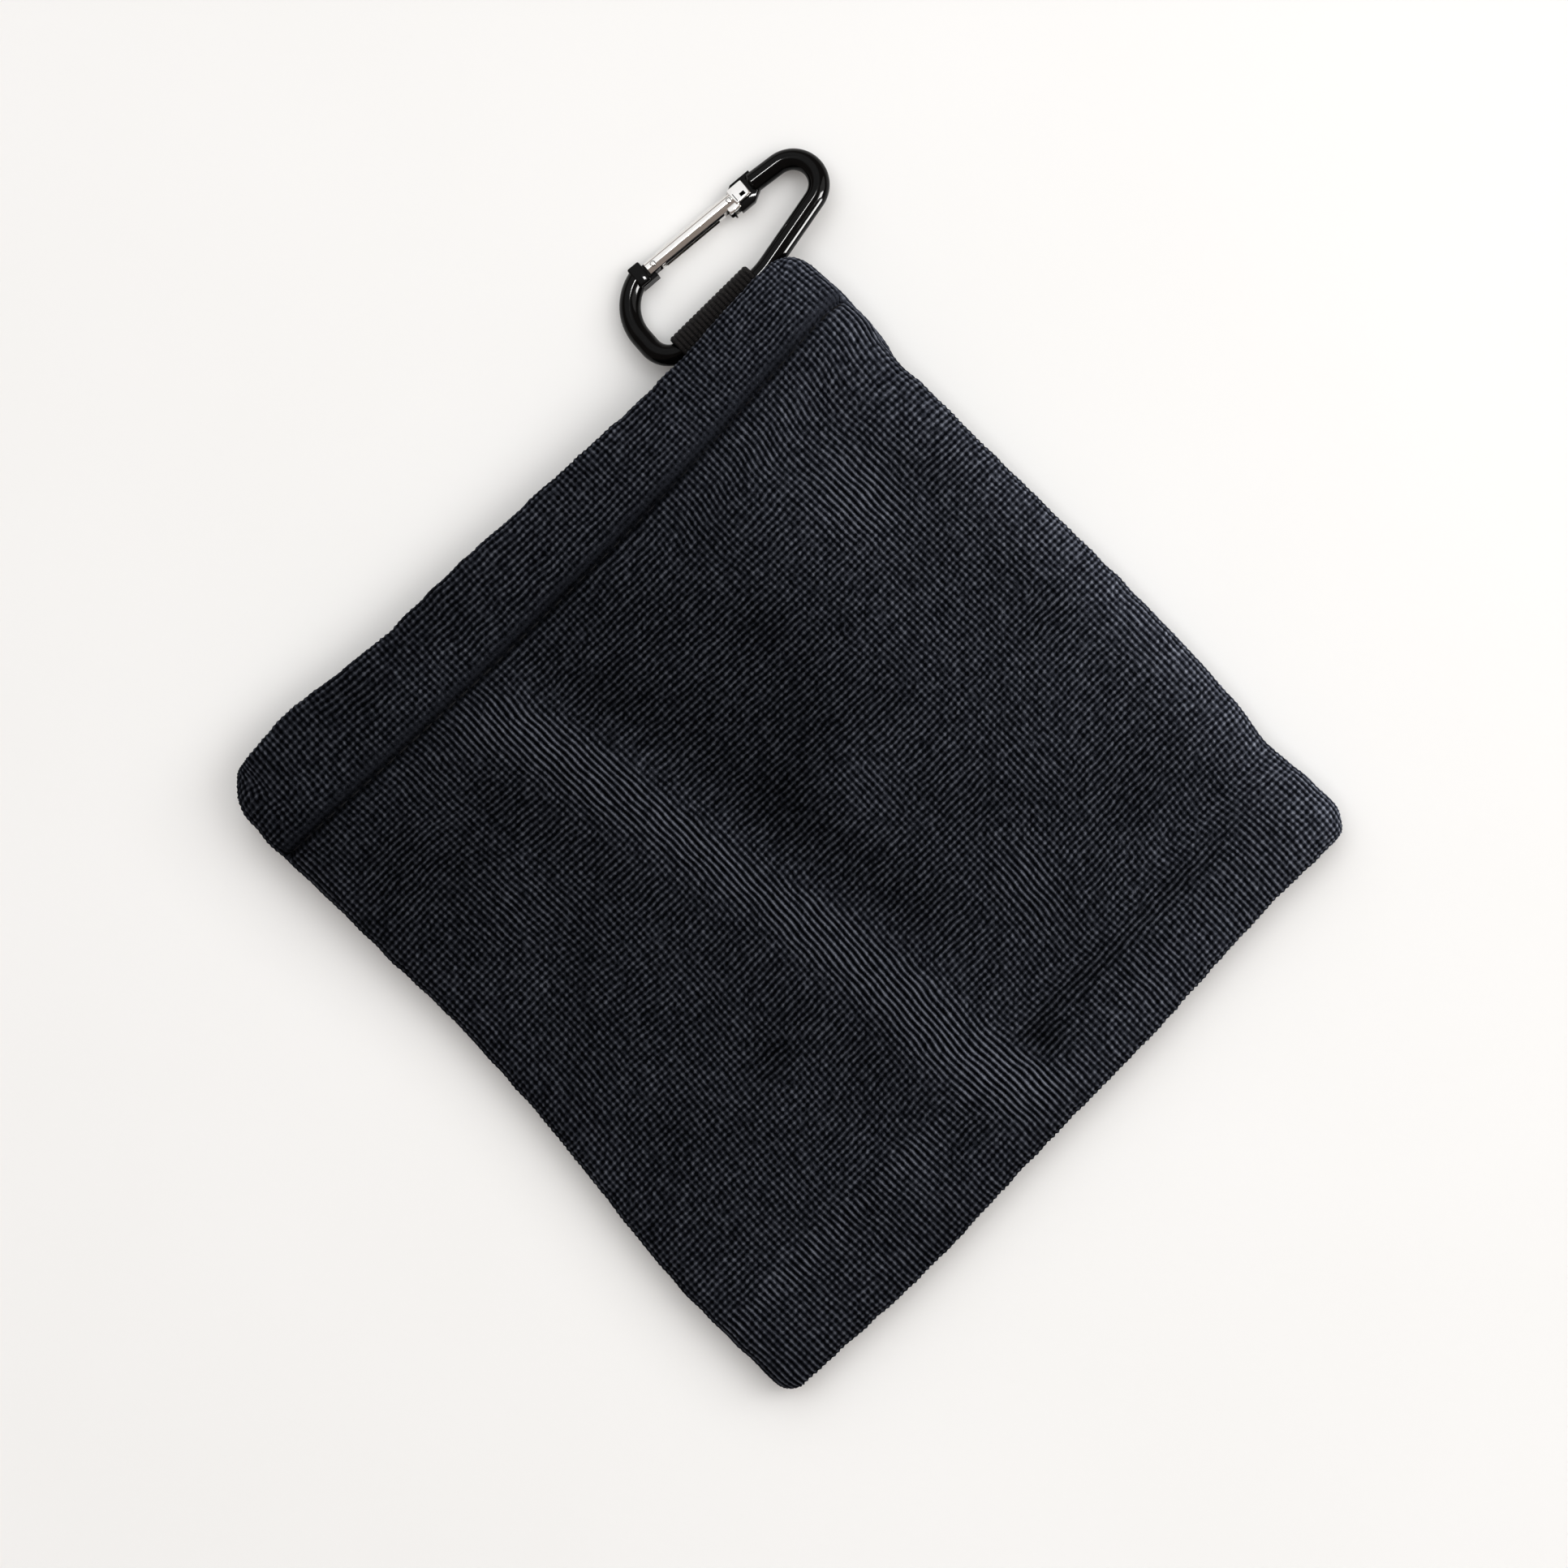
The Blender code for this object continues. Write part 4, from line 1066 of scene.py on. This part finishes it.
gate_tube = rod_between("gate_tube", GATE_RADIUS, (-1.5 * MM, 0, 0), (GATE_END - 0.6 * MM, 0, 0), sides=64)
nose_block = box_between("nose_block", (GATE_END - 3.6 * MM, -1.72 * MM, -1.85 * MM),
                         (GATE_END, 1.72 * MM, 1.85 * MM))
soften(nose_block, 0.22 * MM, segments=2)
cut(gate_tube, nose_block, "UNION")
nose_ear = box_between("nose_ear", (GATE_END - 5.7 * MM, -2.5 * MM, -1.6 * MM),
                       (GATE_END - 3.0 * MM, -1.1 * MM, 1.6 * MM))
soften(nose_ear, 0.3 * MM, segments=2)
cut(gate_tube, nose_ear, "UNION")
gate_cuts = [
    box_between("hinge_slot", (-4 * MM, -CLEAR, -TONGUE_SLOT / 2), (2.1 * MM, CLEAR, TONGUE_SLOT / 2)),
    box_between("nose_slot", (GATE_END - 6.6 * MM, -4 * MM, -TONGUE_SLOT / 2),
                (GATE_END + 2 * MM, 4 * MM, TONGUE_SLOT / 2)),
    rod_between("bore", GATE_BORE, (-4 * MM, 0, 0), (BORE_END, 0, 0)),
    box_between("inner_slot", (1.0 * MM, -CLEAR, -0.65 * MM), (BORE_END - 0.3 * MM, 0, 0.65 * MM)),
    rod_between("hinge_pin_hole", PIN_HOLE, (0, 0, -CLEAR), (0, 0, CLEAR), sides=24),
    rod_between("nose_pin_hole", PIN_HOLE, (PIN_X, 0, -CLEAR), (PIN_X, 0, CLEAR), sides=24),
]
WINDOW = Vector((GATE_END - 1.4 * MM, -0.75 * MM, 1.6 * MM))
for wide, deep, shift in ((1.1, 0.8, 0.0), (0.16, 2.3, -1.6)):      # a window, then the slit beside it
    reach = Vector((wide, deep, 1.6)) * MM / 2
    middle = WINDOW + Vector((shift, 0, 0)) * MM
    gate_cuts.append(box_between("nose_window", middle - reach, middle + reach))
for tool in gate_cuts:
    cut(gate_tube, tool, "DIFFERENCE")
only(gate_tube)
bpy.ops.object.shade_smooth_by_angle(angle=math.radians(35))
settle(gate_tube, GATE_PLACE)
gate_tube.data.materials.append(BRIGHT_METAL)
print("gate_tube has", len(gate_tube.data.polygons), "faces")


# %% Pins, with lightly domed ends
PIN_RADIUS = 0.5 * MM
PIN_HALF = 1.72 * MM


def rivet(name, x):
    pin = rod_between(name, PIN_RADIUS, (x, 0, -PIN_HALF), (x, 0, PIN_HALF), sides=24)
    soften(pin, 0.14 * MM, segments=3, angle=50)
    settle(pin, GATE_PLACE)
    pin.data.materials.append(BRIGHT_METAL)
    return pin


hinge_rivet = rivet("hinge_rivet", 0.0)
nose_rivet = rivet("nose_rivet", PIN_X)
KEPT_NODES = ("gate_spring", "spring_follower")
for name in KEPT_NODES:
    metals = frame["nodes"][name].data.materials
    metals.clear()
    metals.append(PIN_METAL)

# %% [markdown]
# ## Which piece moves with what
# Every piece now rides on a body of the working part and stands for the plain nodes it replaces, which are
# hidden.

# %% Riding and replacing
for body, finish, pairs in (
        ("pouch", "microfibre", ((towel_front, "front_panel"), (towel_back, "back_panel"))),
        ("pouch", "thread", ((front_hem, "front_hem_thread"), (back_hem, "back_hem_thread"),
                             (left_seam, "left_seam_thread"), (right_seam, "right_seam_thread"),
                             (bottom_seam, "bottom_seam_thread"), (loop_tack, "loop_tack_thread"))),
        ("pouch", "webbing", ((webbing, "webbing_loop"),)),
        ("carabiner", "black_metal", ((carabiner_rod, "carabiner_frame"),)),
        ("gate", "polished_metal", ((gate_tube, "gate_body"), (hinge_rivet, "gate_hinge_pin"),
                                    (nose_rivet, "gate_nose_pin")))):
    for piece, node in pairs:
        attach(piece, body)
        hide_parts(node)
